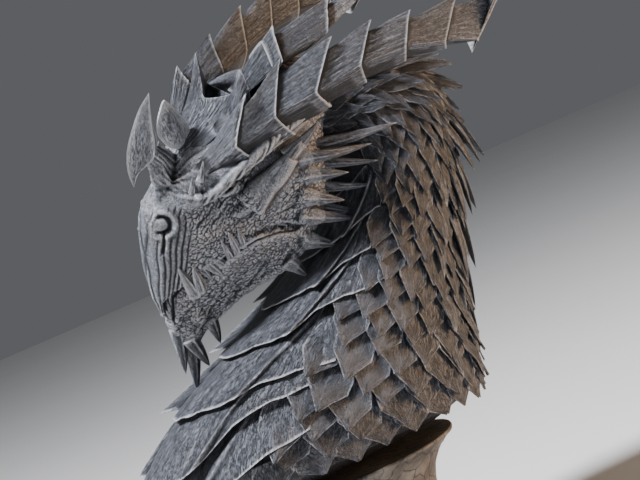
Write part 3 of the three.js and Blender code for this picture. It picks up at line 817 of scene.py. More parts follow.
TEETH = [
    [[47, 10, -23], [50.6, 11, -8], 5.4, 4], [[45.2, 11.5, -22], [45.8, 14, -9.5], 4.8, 3.6],
    [[31, 18.5, -13], [33, 19.5, -3], 3, 2.4], [[28, 19.5, -12], [29.5, 21, -0.7], 3.6, 2.6],
    [[25, 20.5, -11], [25.6, 22, -1], 3, 2.4], [[39, 13.5, -12], [35.9, 17, -20], 3.8, 2.8],
    [[36, 14.5, -11.5], [32.6, 18.5, -18], 3.4, 2.6], [[42, 12.5, -13], [40.5, 15, -19], 2.8, 2.2],
]
MIDDLE_SPIKES = [[[56, 0, -38], [60, 0, -59], 7, 5], [[52, 0, -46], [58.4, 0, -69.5], 7.6, 5]]
BEAK_TIP = [[53.4, 0, -6], [59.6, 0, -32.2], 9, 6.4]


def skin_shells():
    """Overlapping closed shells that become the face's one skin."""
    shells = Shells()
    shells.tube(smooth_section_rings(UPPER_HEAD, 90, 96))
    shells.tube(smooth_section_rings(LOWER_JAW, 80, 64))
    shells.tube(blade(*BEAK_TIP, [1, 0, 0], 1.6))
    for path, radii in FACE_RIDGES:
        ridge_tube(shells, path, radii)
    for root, tip, width, _ in CHEEK_SPIKES:
        middle = np.array(root) * 0.8 + np.array(tip) * 0.2
        lump(shells, middle, np.full(3, width * 0.5))
    for root, tip, width, thickness in CHEEK_SPIKES + FACE_SPIKES[:2]:
        for side in (1, -1):
            swap = np.array([1, side, 1])
            near = (np.array(root) * 0.3 + np.array(tip) * 0.7) * swap
            shells.tube(blade(root * swap, near, width * 1.35, thickness * 1.4, [0, side, 0], 0.4))
    for middle, radii in FACE_LUMPS:
        lump(shells, middle, radii)
    shells.tube(NOSE_STEM)
    return shells


def keep_largest_shell(mesh):
    """Drops the bubbles that a remesh leaves under the skin."""
    shape = bmesh.new()
    shape.from_mesh(mesh)
    for group in sorted(closed_shells(shape), key=len)[:-1]:
        bmesh.ops.delete(shape, geom=group, context="FACES")
    shape.to_mesh(mesh)
    shape.free()


def remeshed(piece, voxel, smoothing):
    """One closed skin around the overlapping shells of a piece."""
    melt = piece.modifiers.new("melt", "REMESH")
    melt.mode = "VOXEL"
    melt.voxel_size = voxel * MM
    soften = piece.modifiers.new("soften", "SMOOTH")
    soften.factor = 0.5
    soften.iterations = smoothing
    graph = bpy.context.evaluated_depsgraph_get()
    mesh = bpy.data.meshes.new_from_object(piece.evaluated_get(graph), depsgraph=graph)
    keep_largest_shell(mesh)
    piece.modifiers.clear()
    old = piece.data
    mesh.name = old.name
    piece.data = mesh
    bpy.data.meshes.remove(old)
    return piece


def read_points(mesh):
    points = np.empty(len(mesh.vertices) * 3)
    mesh.vertices.foreach_get("co", points)
    return points.reshape(-1, 3) / MM - [0, 0, SEAT]


def read_normals(mesh):
    normals = np.empty(len(mesh.vertices) * 3)
    mesh.vertex_normals.foreach_get("vector", normals)
    return normals.reshape(-1, 3)


def write_points(mesh, points):
    mesh.vertices.foreach_set("co", ((points + [0, 0, SEAT]) * MM).ravel())
    mesh.update()


def from_segment(spots, root, tip):
    """How far points are from the outer part of a spike."""
    root, tip = np.array(root, float), np.array(tip, float)
    start = root + (tip - root) * 0.2
    share = np.clip((spots - start) @ (tip - start) / np.sum((tip - start) ** 2), 0, 1)
    return np.linalg.norm(spots - start - share[:, None] * (tip - start), axis=1)


CROWN_DEPTH = 8.0


def crown_dish(spots):
    """The hollow on the skull, behind the two prongs of the crest."""
    return ramp(spots[:, 2], 32, 37) * bump_at(spots[:, 1], 0, 13) * bump_at(spots[:, 0], -7, 13)


def beak_lines(spots):
    """Where the beak is, which lane from its front edge, and its long grooves from -0.8 to 0.2."""
    x, z = spots[:, 0], spots[:, 2]
    profile = np.interp(z, [-34, -22, -13, -2, 11, 17.2], [60.2, 59.8, 58.8, 56.6, 52, 47])
    lane = (profile - x) / (0.16 * np.clip(z + 40, 4, 48) + 0.6)
    lane = lane + 0.3 * cloud(spots * [0.5, 0.2, 1], 9.0, 13) + np.abs(spots[:, 1]) * 0.02
    snout = ramp(x, 37, 43) * (1 - ramp(lane, 2.1, 2.7)) * (1 - ramp(z, 12, 17)) * ramp(z, -34, -24)
    return snout, lane, np.abs(np.sin(lane * 8.5)) ** 0.5 - 0.8


def head_shade(spots):
    """How dark the painted shade on the head is, from 0 to 1: in the crown's hollow, over the beak and more
    in the beak's grooves.
    """
    snout, _, grooves = beak_lines(spots)
    clear = ramp(np.hypot(spots[:, 0] - NOSTRIL[0], spots[:, 2] - NOSTRIL[2]), 5.0, 7.0)
    lines = np.clip(-1.1 * grooves, 0, 1) * clear
    return np.clip(1.6 * crown_dish(spots) + snout * (0.26 + lines), 0, 1)


def apart(spots):
    """Coordinates of points of the head: forward, away from its middle, and up."""
    return spots[:, 0], np.abs(spots[:, 1]), spots[:, 2]


def brow_line(x):
    """The height of the brow's lower edge along the head."""
    return np.interp(x, [-18, -6, 9, 20, 28, 34], [29, 25, 22, 18, 14, 13])


def streaked(first, second, third, seed):
    """Noise that is drawn out where a coordinate grows slowly."""
    return cloud(np.stack([first, second, third], 1), 1.0, seed)


def skin_relief(spots):
    """Pebbled skin of the face and the nape, and the long grooves of the beak."""
    x, y, z = apart(spots)
    brow = brow_line(x)
    snout, lane, grooves = beak_lines(spots)
    skin = (1 - ramp(z, brow - 3, brow)) * (1 - snout)
    drift = cloud(spots, 4.5, 2)[:, None]
    patch = ramp(cloud(spots, 13, 21), -0.4, 0.4)
    height = skin * (0.26 + 0.22 * patch) * (pebbles(spots * [1, 1, 1.25] + drift, 2.5, 4) - 0.5)
    height += skin * 0.17 * (pebbles(spots * [1, 1, 1.5] + drift, 1.35, 8) - 0.5)
    height += skin * 0.35 * cloud(spots, 5.5, 31)
    nape = (1 - ramp(x, -32, -22)) * ramp(z, brow - 6, brow)
    height += nape * 0.5 * (pebbles(spots + drift, 3.4, 5) - 0.5)
    height += snout * ramp(z, -35, -30) * (0.62 * grooves + 0.2 * streaked(lane * 4.5, z / 12, y / 14, 14))
    cheek_angle = np.degrees(np.arctan2(z + 4, 14 - x))
    cheek_far = np.hypot(14 - x, z + 4)
    cheek = (1 - ramp(x, 4, 12)) * ramp(x, -22, -14) * skin
    height += cheek * 0.55 * streaked(cheek_angle * 0.16, cheek_far / 9, y / 9, 15)
    return height


def fold_relief(spots):
    """Wrinkles under the eye, on the brow, the forehead, the nose horn's stem and the jaw."""
    x, y, z = apart(spots)
    brow = brow_line(x)
    under_eye = bump_at(z, brow - 8, 5) * ramp(x, 8, 14) * (1 - ramp(x, 34, 40))
    height = under_eye * 0.6 * streaked((z * 1.3 + x * 0.5) * 0.6, x * 0.12, y * 0.1, 16)
    on_brow = bump_at(z, brow + 2.4, 4.2) * ramp(x, -14, -8) * (1 - ramp(x, 33, 37))
    height += on_brow * 0.85 * streaked(x * 0.8 + z * 0.55, z * 0.16, y * 0.12, 17)
    forehead = ramp(z, brow + 1, brow + 5) * (1 - ramp(x, 34, 42))
    fan = np.degrees(np.arctan2(y + 2, 46 - x))
    height += forehead * 0.6 * streaked(fan * 0.34, np.hypot(y, 46 - x) / 12, z / 12, 18)
    stem = ramp(x, 30, 36) * ramp(z, 17, 22)
    height += stem * 0.4 * streaked(x * 0.9 - z * 0.4, z * 0.12, y * 0.5, 19)
    jaw = (1 - ramp(z, -24, -16)) * ramp(x, 6, 14)
    height += jaw * 0.5 * streaked((x + z) * 0.55, (x - z) * 0.1, y * 0.1, 20)
    return height


def nostril_relief(spots, sideways, height):
    """The relief with the nostril's raised rim, its ring cut and the slot below it."""
    x, y, z = apart(spots)
    across, rise = x - NOSTRIL[0], z - NOSTRIL[2]
    far = np.hypot(across, rise)
    beside = ramp(y, 3, 5) * (far < 10) * ramp(sideways, 0.35, 0.7)
    height = np.where(beside > 0, height * ramp(far, 5.5, 8.5), height)
    height += beside * 0.5 * bump_at(far, 5.4, 0.9)
    opening = bump_at(np.degrees(np.arctan2(rise, across)), -22, 42)
    height -= beside * 2.2 * np.clip(bump_at(far, 3.2, 0.85) * (1 - opening), 0, 1)
    slot = bump_at(x, 48.9 + 0.5 * (7.4 - z), 0.65) * ramp(z, -2.5, 1.5)
    return height - slot * (1 - ramp(z, 6.6, 8.0)) * ramp(y, 4, 7) * 1.7


def mouth_relief(spots):
    """The cuts between beak and jaw and along the mouth, with the lids over the eye."""
    x, y, z = apart(spots)
    beak_edge = np.interp(z, [-33, -24, -19], [57.4, 54.6, 50.5])
    height = -1.6 * bump_at(x, beak_edge, 0.7) * ramp(y, 1.5, 3)
    height *= ramp(z, -36, -32) * (1 - ramp(z, -20, -17))
    mouth = np.interp(x, [4.7, 12.9, 21.3, 30.7, 41.6, 51.9], [-12.6, -9.6, -9.0, -11.2, -15.4, -19.8])
    height -= 1.5 * bump_at(z, mouth, 0.75) * ramp(x, 1, 4) * ramp(y, 5, 9)
    eye_line = np.interp(x, [10, 16, 20, 25], [17.4, 16.0, 14.6, 13.0])
    lids = ramp(x, 10, 13) * (1 - ramp(x, 22, 26)) * ramp(y, 10, 12)
    folds = bump_at(z, eye_line - 2.4, 0.7) + 0.6 * bump_at(z, eye_line - 4.2, 0.6)
    return height + lids * (0.7 * folds - bump_at(z, eye_line - 1.0, 0.6))


def face_relief(spots, sideways):
    """Height of the face's carving at points of the head, in millimetres."""
    height = skin_relief(spots) + fold_relief(spots) - CROWN_DEPTH * crown_dish(spots)
    left = np.stack(apart(spots), 1)
    for root, tip, width, _ in CHEEK_SPIKES + FACE_SPIKES[:2]:
        height = height * ramp(from_segment(left, root, tip), width * 0.4, width * 0.75)
    return nostril_relief(spots, sideways, height) + mouth_relief(spots)


def head_skin():
    shells = skin_shells()
    shells.points = [posed(points) for points in shells.points]
    made = shells.piece("head_skin", paint_bust)
    remeshed(made, SKIN_VOXEL, 3)
    mesh = made.data
    points = read_points(mesh)
    sideways = np.abs(read_normals(mesh) @ HEAD_AXES[1])
    height = face_relief(unposed(points), sideways)
    write_points(mesh, points + read_normals(mesh) * height[:, None])
    spots = unposed(points)
    bent = spots[:, 0] + 1.5 * cloud(spots, 6.0, 61)
    write_grain(mesh, np.stack([bent, spots[:, 2] * 4.0, spots[:, 1]], axis=1))
    # Painted shade in the crown's hollow, over the beak and in its grooves, as rim values below 0.
    write_rim_and_painted_shade(mesh, -0.9 * head_shade(spots))
    mesh.shade_smooth()
    return made


def mirrored_blades(shells, spikes, sides=(1, -1), curl=0.5):
    for root, tip, width, thickness in spikes:
        for side in sides:
            swap = np.array([1, side, 1])
            rings = blade(np.array(root) * swap, np.array(tip) * swap, width, thickness, [0, side, 0], curl)
            shells.tube([posed(ring) for ring in rings])


def face_spikes():
    shells = Shells()
    mirrored_blades(shells, CHEEK_SPIKES)
    mirrored_blades(shells, QUILLS, curl=1.4)
    mirrored_blades(shells, FACE_SPIKES)
    mirrored_blades(shells, MIDDLE_SPIKES, (1,))
    return shells.piece("face_spikes", paint_bust)


def teeth():
    shells = Shells()
    stout = []
    for root, tip, width, thickness in TEETH:
        ends = [np.array(root) + [0, 0.5, 0], np.array(tip) + [0, 0.6, 0]]
        stout.append([*ends, width * 1.3, thickness * 1.3])
    mirrored_blades(shells, stout)
    return shells.piece("teeth", paint_bust)


# Horns: the upper edge, the outer side, the keel and the inner side of each plate's front
HORN_EDGES = [
    [[27, 11, 28], [25, 17, 24], [24, 17, 17], [18, 9, 26]],
    [[4.5, 24, 46], [14.7, 25, 31.4], [9, 27, 22], [2, 17, 34]],
    [[-14, 25, 51], [-2.2, 31, 36.2], [-8, 30, 24.8], [-12, 19, 36]],
    [[-34.5, 31.5, 51.5], [-19.9, 36, 38.4], [-26, 32, 27.5], [-28, 24, 38]],
    [[-52, 34.5, 50], [-39.9, 40, 40.1], [-43, 34.5, 29.2], [-45, 29, 38]],
    [[-68.2, 38, 46.6], [-59.7, 43, 37.6], [-61, 37.5, 29.4], [-62, 33, 37]],
    [[-89.1, 40, 41.8], [-77.5, 44, 30.9], [-79, 40, 25.5], [-80, 36, 32]],
    [[-111.7, 40, 33.9], [-92.5, 44, 23.3], [-94, 41.5, 21.5], [-96, 37, 27]],
]
MIDDLE_HORN_EDGES = [
    [[-6, 0, 42], [-8, 7, 38], [-8, 0, 33], [-8, -7, 38]],
    [[-28.8, 0, 52], [-24, 9.5, 43], [-22, 0, 36], [-24, -9.5, 43]],
    [[-56.2, 0, 50.5], [-48, 8.5, 43], [-46, 0, 37], [-48, -8.5, 43]],
]
HORN_TIP = np.array([-123.0, 45, 51.5])
MIDDLE_HORN_TIP = np.array([-84.0, 0, 47])
# How wide a tip is beside the plate before it
TIP_SHARE = 0.04
CREST_EDGES = [
    [[27, 0, 30], [26, 7, 27], [24, 0, 22], [26, -7, 27]],
    [[15, 0, 37], [12, 15, 35], [10, 0, 28], [12, -15, 35]],
    [[3, 0, 44], [-1, 19, 42], [-6, 0, 34], [-1, -19, 42]],
]


def rounded_edge(corners, count=160, fullness=0.16):
    return curve_through(np.array(corners, float), count, True, fullness)


def streaks(columns, share, seed, length=2.2):
    """Fine furrows that run along a plate, a row of values at one share of its length."""
    where = np.stack([columns, np.full(len(columns), share * length), np.full(len(columns), seed * 17.0)], 1)
    return 0.6 * cloud(where * [0.55, 1, 1], 1.0, seed) + 0.4 * cloud(where * [0.23, 1, 1], 1.0, seed + 1)


def plate_shell(front, rear, flare, seed, thickness=1.4, start=-0.16, stop=1.03):
    """A lapped plate of a horn: it opens out to the rear, as rings and nearness to its edges, with painted
    shadow at its front and painted shade on its underside.
    """
    count = len(front)
    columns = np.arange(count) * 1.0
    girth = np.linalg.norm(np.roll(rear, -1, axis=0) - rear, axis=1).mean()
    corner = np.minimum(columns, count - columns)
    outer_corner = np.abs(columns - count / 4)
    peak = bump_at(corner, 0, count * 0.05)
    # The underside panels, which are painted in shade.
    under = ramp(outer_corner, 1, 4) * (np.abs(columns - count / 2) < count / 4)
    rings, near = [], []
    for share in np.linspace(start, stop, 18):
        middle = front.mean(0) + (rear.mean(0) - front.mean(0)) * share
        shape = (front - front.mean(0)) * (1 - share) + (rear - rear.mean(0)) * share
        size = np.linalg.norm(shape, axis=1)[:, None]
        grow = 0.87 + (flare - 0.87) * ramp(share, 0.0, 1.0)
        lift = 0.3 * streaks(columns, share, seed) * ramp(share, -0.1, 0.2)
        lift = lift + 0.2 * bump_at(share, stop, 0.05)
        lift = lift + peak * (1.1 * np.clip(share, 0, 1) ** 3 - 1.2 * bump_at(share, 0.15, 0.3))
        lean = (rear.mean(0) - front.mean(0)) * (peak * 0.04 * np.clip(share, 0, 1) ** 3)[:, None]
        rings.append(middle + shape * grow + shape / size * lift[:, None] + lean)
        back = (stop - share) * np.linalg.norm(rear.mean(0) - front.mean(0))
        edge = np.clip(1 - np.minimum(np.minimum(corner, outer_corner) * girth, back) / WEAR_REACH, 0, 1)
        # Painted shadow at the plate's front, behind the plate before it, and painted shade on its
        # underside; elsewhere nearness to a worn edge.
        near.append(edge - 2.0 * bump_at(share, 0.03, 0.07) - 0.5 * under * (1 - edge))
    rings = np.array(rings)
    near = np.clip(np.concatenate([near, np.zeros((3, count))]), -1, 1)
    inner = []
    for ring, deep in ((rings[-1], 0.3), (rings[-2], 1.0), (rings[0], 1.0)):
        shape = ring - ring.mean(0)
        size = np.linalg.norm(shape, axis=1)[:, None]
        inner.append(ring - shape / size * thickness * deep)
    return np.concatenate([rings, inner]), near


def horns():
    """The two long horns, each of lapped plates round a smooth core."""
    shells = Shells()
    edges = [rounded_edge(edge) for edge in HORN_EDGES]
    for side in (1, -1):
        swap = np.array([1, side, 1])
        for i in range(len(edges) - 1):
            rings, near = plate_shell(edges[i] * swap, edges[i + 1] * swap, 1.03, i + 3)
            shells.tube([posed(ring) for ring in rings], near)
        core = curve_through(np.array(edges), 60) * swap
        centre = core.mean(1)[:, None]
        shells.tube([posed(ring) for ring in centre + (core - centre) * 0.8])
        last = edges[-1] * swap
        point = HORN_TIP * swap + (last - last.mean(0)) * TIP_SHARE
        rings, near = plate_shell(last, point, 1.0, 12)
        shells.tube([posed(ring) for ring in rings], near)
    return shells.piece("horns", paint_bust)


def middle_horn(shells):
    edges = [rounded_edge(edge) for edge in MIDDLE_HORN_EDGES]
    tip = MIDDLE_HORN_TIP + (edges[2] - edges[2].mean(0)) * TIP_SHARE
    edges.append(tip)
    for i in range(3):
        rings, near = plate_shell(edges[i], edges[i + 1], 1.02, i + 21, 1.2)
        shells.tube([posed(ring) for ring in rings], near)


def crest_body(shells):
    """The crest's root, with its two prongs, the notch between them and a hollow behind, painted in shade.
    """
    body = curve_through(np.array([rounded_edge(edge, 220, 0.3) for edge in CREST_EDGES]), 60)
    centre = body.mean(1)[:, None]
    shape = body - centre
    size = np.linalg.norm(shape, axis=2)[..., None]
    columns = np.arange(220) * 1.0
    share = np.linspace(0, 1, 60)
    lift = np.array([0.32 * streaks(columns, part * 3, 41) for part in share])
    body = centre + shape + shape / size * lift[..., None]
    aside = np.abs(body[..., 1])
    top = ramp(body[..., 2] - centre[..., 2], -1, 3)
    late = ramp(share, 0.55, 1.0)[:, None] ** 1.6
    peak = bump_at(aside, 16.0, 3.4) * top * late
    notch = bump_at(aside, 0, 8) * top * late
    body = body + peak[..., None] * [-3.0, 0, 11.5] + notch[..., None] * [5.0, 0, -1.0]
    hollow = bump_at(np.linalg.norm((body - [13.5, 13.5, 37]) / [2.4, 3.0, 3.0], axis=2), 0, 1)
    arch = bump_at(np.linalg.norm((body - [13.5, 13.5, 38.5]) / [3.4, 3.6, 3.8], axis=2), 1.3, 0.4)
    body = body + shape / size * (0.7 * arch - 2.2 * hollow)[..., None]
    # The rings that step down into the hollow are painted in shade; the body has a worn lip at its end.
    near = np.full((63, 220), -1.0)
    near[:60] = ramp(share, 0.93, 1.0)[:, None]
    end = body[-1]
    inner = []
    for inset, drop in ((0.93, 0.4), (0.8, 4.0), (0.5, 9.0)):
        ring = end.mean(0) + (end - end.mean(0)) * inset
        ring[:, 2] = np.minimum(ring[:, 2], 40 - 0.9 * drop)
        inner.append(ring + [drop, 0, -0.5 * drop])
    shells.tube([posed(ring) for ring in np.concatenate([body, inner])], near)


def crest():
    """The crest and the middle horn that grows from it, as one piece."""
    shells = Shells()
    middle_horn(shells)
    crest_body(shells)
    return shells.piece("crest", paint_bust)


# Nose horn: front and rear outline with half the thickness, and the leaf behind it
NOSE_OUTLINE = [
    [49.9, 26.6, 49.9, 26.6, 0.2], [50.2, 31, 45.5, 31.5, 1.8], [49.2, 36.5, 36.5, 33.5, 3.6],
    [46.4, 42.5, 33.4, 39.5, 3.8], [41, 49, 32.8, 45, 3.0], [35.6, 54.2, 31.4, 51, 1.8],
    [29.4, 57.8, 29.4, 57.8, 0.2],
]
# Half of its section: shares of its depth from the front, and of its half thickness
NOSE_SECTION = [[0, 0], [0.2, 0.3], [0.42, 0.6], [0.6, 0.82], [0.76, 1.0], [0.88, 0.5], [1.0, 0.0]]
NOSE_EDGES = [0, 0.76, 1.0]
# A shift between rings, in millimetres, that keeps points at its ends apart
HAIR = 1e-4
LEAF_OUTLINE = [[24.5, 51.5], [30, 46], [32.4, 40], [30, 33], [24, 29], [19.5, 34], [20, 41]]
LEAF_MIDDLE = np.array([26, 39.0])
LEAF_SECTION = [[0.02, -2.3], [0.35, -1.9], [0.7, -1.4], [1.0, -0.5]]


def nose_blade(shells):
    half_section = np.array(NOSE_SECTION, float)
    section = np.concatenate([half_section, half_section[-2:0:-1] * [1, -1]])
    shares, widths = section[:, :1], section[:, 1:]
    gap = np.min(np.abs(shares - NOSE_EDGES), axis=1)
    across = np.array([0, 1.0, 0])
    rings, near = [], []
    for number, (front_x, front_z, rear_x, rear_z, half) in enumerate(curve_through(NOSE_OUTLINE, 44)):
        front, rear = np.array([front_x, 0, front_z]), np.array([rear_x, 0, rear_z])
        ring = front * (1 - shares) + rear * shares + across * half * widths
        rings.append(posed(ring + across * HAIR * number))
        near.append(np.clip(1 - gap * np.linalg.norm(front - rear) / WEAR_REACH, 0, 1))
    shells.tube(rings, np.array(near))


def nose_leaf(shells):
    outline = curve_through(LEAF_OUTLINE, 36, True, 0.3)
    sections = LEAF_SECTION + [[share, -half] for share, half in reversed(LEAF_SECTION)]
    rings = []
    for share, half in sections:
        flat = LEAF_MIDDLE + (outline - LEAF_MIDDLE) * share
        rings.append(np.stack([flat[:, 0], np.full(36, half), flat[:, 1]], axis=1))
    flat = np.concatenate(rings)
    edge = np.repeat([0, 0.35, 0.7, 1, 1, 0.7, 0.35, 0], 36)
    shells.add(posed(flat), tube_faces(8, 36), flat[:, [0, 2, 1]] * [1, 1, 0], edge)


def nose_horn():
    shells = Shells()
    nose_blade(shells)
    nose_leaf(shells)
    return shells.piece("nose_horn", paint_bust)


def eyes():
    shells = Shells()
    for side in (1, -1):
        middle = (EYE - [0, EYE_DEPTH, 0]) * [1, side, 1]
        shells.tube(posed(middle + ball_rings(32, 18, 0.06) * EYE_RADIUS))
    return shells.piece("eyes", paint_eye)


# Turned pieces

def turned(name, profile, material, around):
    """A closed piece turned about the upright axis, from radii and heights."""
    turn = turns(around)
    rings = []
    for radius, height in profile:
        rings.append(np.stack([radius * np.cos(turn), radius * np.sin(turn), turn * 0 + height - SEAT], 1))
    shells = Shells()
    shells.tube(rings)
    return shells.piece(name, material)


SOCLE_TOP = (pedestal_high[2] - pedestal_low[2]) / MM
SOCLE_RADIUS = (pedestal_high[0] - pedestal_low[0]) / 2 / MM
SOCLE_EDGE = 0.8
# Foot, as distances in from the full radius, and waist, as radii, each with its height
SOCLE_FOOT = [[1.0, 0.0], [1.0, 0.3], [0.7, 0.8], [0.7, 4.4], [1.2, 5.0]]
SOCLE_WAIST = [
    [43.2, 5.6], [41.0, 8.0], [37.6, 11.4], [34.6, 16.2], [32.6, 22.0], [31.6, 28.0], [31.6, 32.0],
    [32.2, 37.0], [33.2, 42.0], [34.8, 46.6], [37.2, 50.6], [40.4, 54.2], [44.0, 57.2], [45.4, 58.2],
]


def pedestal():
    edge = [
        [SOCLE_RADIUS - SOCLE_EDGE * (1 - math.sin(a)), SOCLE_TOP - SOCLE_EDGE * (1 + math.cos(a))]
        for a in np.linspace(0, np.pi, 9)
    ]
    below = [[SOCLE_RADIUS - inset, height] for inset, height in SOCLE_FOOT] + SOCLE_WAIST
    profile = curve_through(np.array(below), 90, tension=0.4).tolist() + edge
    profile += [[SOCLE_RADIUS - 9, SOCLE_TOP], [10.0, SOCLE_TOP]]
    made = turned("pedestal_turned", profile, paint_pedestal, 160)
    mesh = made.data
    points = read_points(mesh)
    wear = cloud(points, 9.0, 40) * 0.16 + cloud(points, 3.0, 41) * 0.1 - 0.3
    outward = read_normals(mesh)
    side = np.abs(outward[:, 2]) < 0.75
    worn = points + outward * (wear * side)[:, None]
    worn[:, 2] = np.maximum(worn[:, 2], -SEAT)
    write_points(mesh, worn)
    return made


# Paint: a drybrushed look, and painted shade in broad hollows, from how far each spot stands out of its
# surroundings

PLAIN_TONE = 0.42
GAINS = {"head_skin": 0.92, "neck_scales": 0.3, "neck_hide": 0.1}
TONES = {
    "head_skin": 0.58, "nose_horn": 0.56, "neck_hide": 0.28, "neck_scales": 0.35, "back_spines": 0.34,
    "horns": 0.46, "face_spikes": 0.46, "teeth": 0.52,
}
BRUSH_REACH = 1.6


def drybrush_and_shade(piece):
    """Writes how raised each vertex is, from 0 in hollows to 1 on edges, round the piece's own tone:
    drybrushed paint on edges and in fine hollows, and painted shade in broad hollows.
    """
    gain, tone = GAINS.get(piece.name, 1.0), TONES.get(piece.name, PLAIN_TONE)
    mesh = piece.data
    count = len(mesh.vertices)
    pairs = np.empty(len(mesh.edges) * 2, dtype=np.int64)
    mesh.edges.foreach_get("vertices", pairs)
    pairs = pairs.reshape(-1, 2)
    points = read_points(mesh)
    normals = read_normals(mesh)
    ends = np.maximum(np.bincount(pairs.ravel(), minlength=count), 1).astype(float)
    length = np.linalg.norm(points[pairs[:, 0]] - points[pairs[:, 1]], axis=1)
    span = np.bincount(pairs[:, 0], length, count) + np.bincount(pairs[:, 1], length, count)
    span = np.maximum(span / ends, 0.02)

    def around(values):
        total = np.zeros_like(values)
        for column in range(values.shape[1]):
            total[:, column] += np.bincount(pairs[:, 0], values[pairs[:, 1], column], count)
            total[:, column] += np.bincount(pairs[:, 1], values[pairs[:, 0], column], count)
        return total / ends[:, None]

    sharp = np.sum((points - around(points)) * normals, axis=1) / span
    rounds = int(np.clip((BRUSH_REACH / np.median(span)) ** 2 * 2, 1, 26))
    soft = points
    for _ in range(rounds):
        soft = (soft + 2 * around(soft)) / 3
    broad = np.sum((points - soft) * normals, axis=1) / (span * math.sqrt(rounds))
    # Fine curvature gives the drybrushed paint; broad hollows are darkened as painted shade.
    change = 1.5 * np.clip(sharp, -0.2, 0.25) + 0.8 * np.clip(broad, -0.35, 0.1)
    raised = np.clip(tone + gain * change, 0, 1)
    mesh.attributes.new("raised", "FLOAT", "POINT").data.foreach_set("value", raised)


class Nodes:
    """A small helper that adds shader nodes and joins them."""

    def __init__(self, material):
        material.use_nodes = True
        self.tree = material.node_tree
        self.tree.nodes.clear()
        self.out = self.add("ShaderNodeOutputMaterial")
        self.shader = self.add("ShaderNodeBsdfPrincipled")
        self.tree.links.new(self.shader.outputs[0], self.out.inputs[0])
        self.place = self.add("ShaderNodeTexCoord").outputs["Object"]

    def add(self, kind, **settings):
        node = self.tree.nodes.new(kind)
        for name, value in settings.items():
            setattr(node, name, value)
        return node

    def join(self, source, target):
        self.tree.links.new(source, target)

    def noise(self, scale, detail=4.0, rough=0.55, distortion=0.0, place=None):
        node = self.add("ShaderNodeTexNoise")
        node.inputs["Scale"].default_value = scale
        node.inputs["Detail"].default_value = detail
        node.inputs["Roughness"].default_value = rough
        node.inputs["Distortion"].default_value = distortion
        self.join(place or self.place, node.inputs["Vector"])
        return node.outputs[0]

    def sum(self, operation, first, second, clamp=False):
        node = self.add("ShaderNodeMath", operation=operation, use_clamp=clamp)
        for socket, value in zip(node.inputs, (first, second)):
            if isinstance(value, (int, float)):
                socket.default_value = value
            else:
                self.join(value, socket)
        return node.outputs[0]

    def shifted(self, level, value, middle, weight):
        """A level moved by how far a value is from its middle, times a weight."""
        return self.sum("ADD", level, self.sum("MULTIPLY", self.sum("SUBTRACT", value, middle), weight))

    def span(self, value, low, high, to_low=0.0, to_high=1.0):
        node = self.add("ShaderNodeMapRange", clamp=True)
        self.join(value, node.inputs[0])
        for socket, number in zip(node.inputs[1:5], (low, high, to_low, to_high)):
            socket.default_value = number
        return node.outputs[0]

    def shades(self, value, stops):
        node = self.add("ShaderNodeValToRGB")
        node.color_ramp.elements[0].position = stops[0][0]
        node.color_ramp.elements[0].color = (*stops[0][1], 1)
        node.color_ramp.elements[1].position = stops[-1][0]
        node.color_ramp.elements[1].color = (*stops[-1][1], 1)
        for position, colour in stops[1:-1]:
            node.color_ramp.elements.new(position).color = (*colour, 1)
        self.join(value, node.inputs[0])
        return node.outputs[0]

    def mix(self, share, first, second, blend="MIX"):
        node = self.add("ShaderNodeMix", data_type="RGBA", blend_type=blend)
        for socket, value in ((node.inputs[0], share), (node.inputs[6], first), (node.inputs[7], second)):
            if isinstance(value, (int, float)):
                socket.default_value = value
            elif isinstance(value, tuple):
                socket.default_value = (*value, 1)
            else:
                self.join(value, socket)
        return node.outputs[2]

    def bump(self, height, strength, distance):
        node = self.add("ShaderNodeBump")
        node.inputs["Strength"].default_value = strength
        node.inputs["Distance"].default_value = distance
        self.join(height, node.inputs["Height"])
        self.join(node.outputs[0], self.shader.inputs["Normal"])


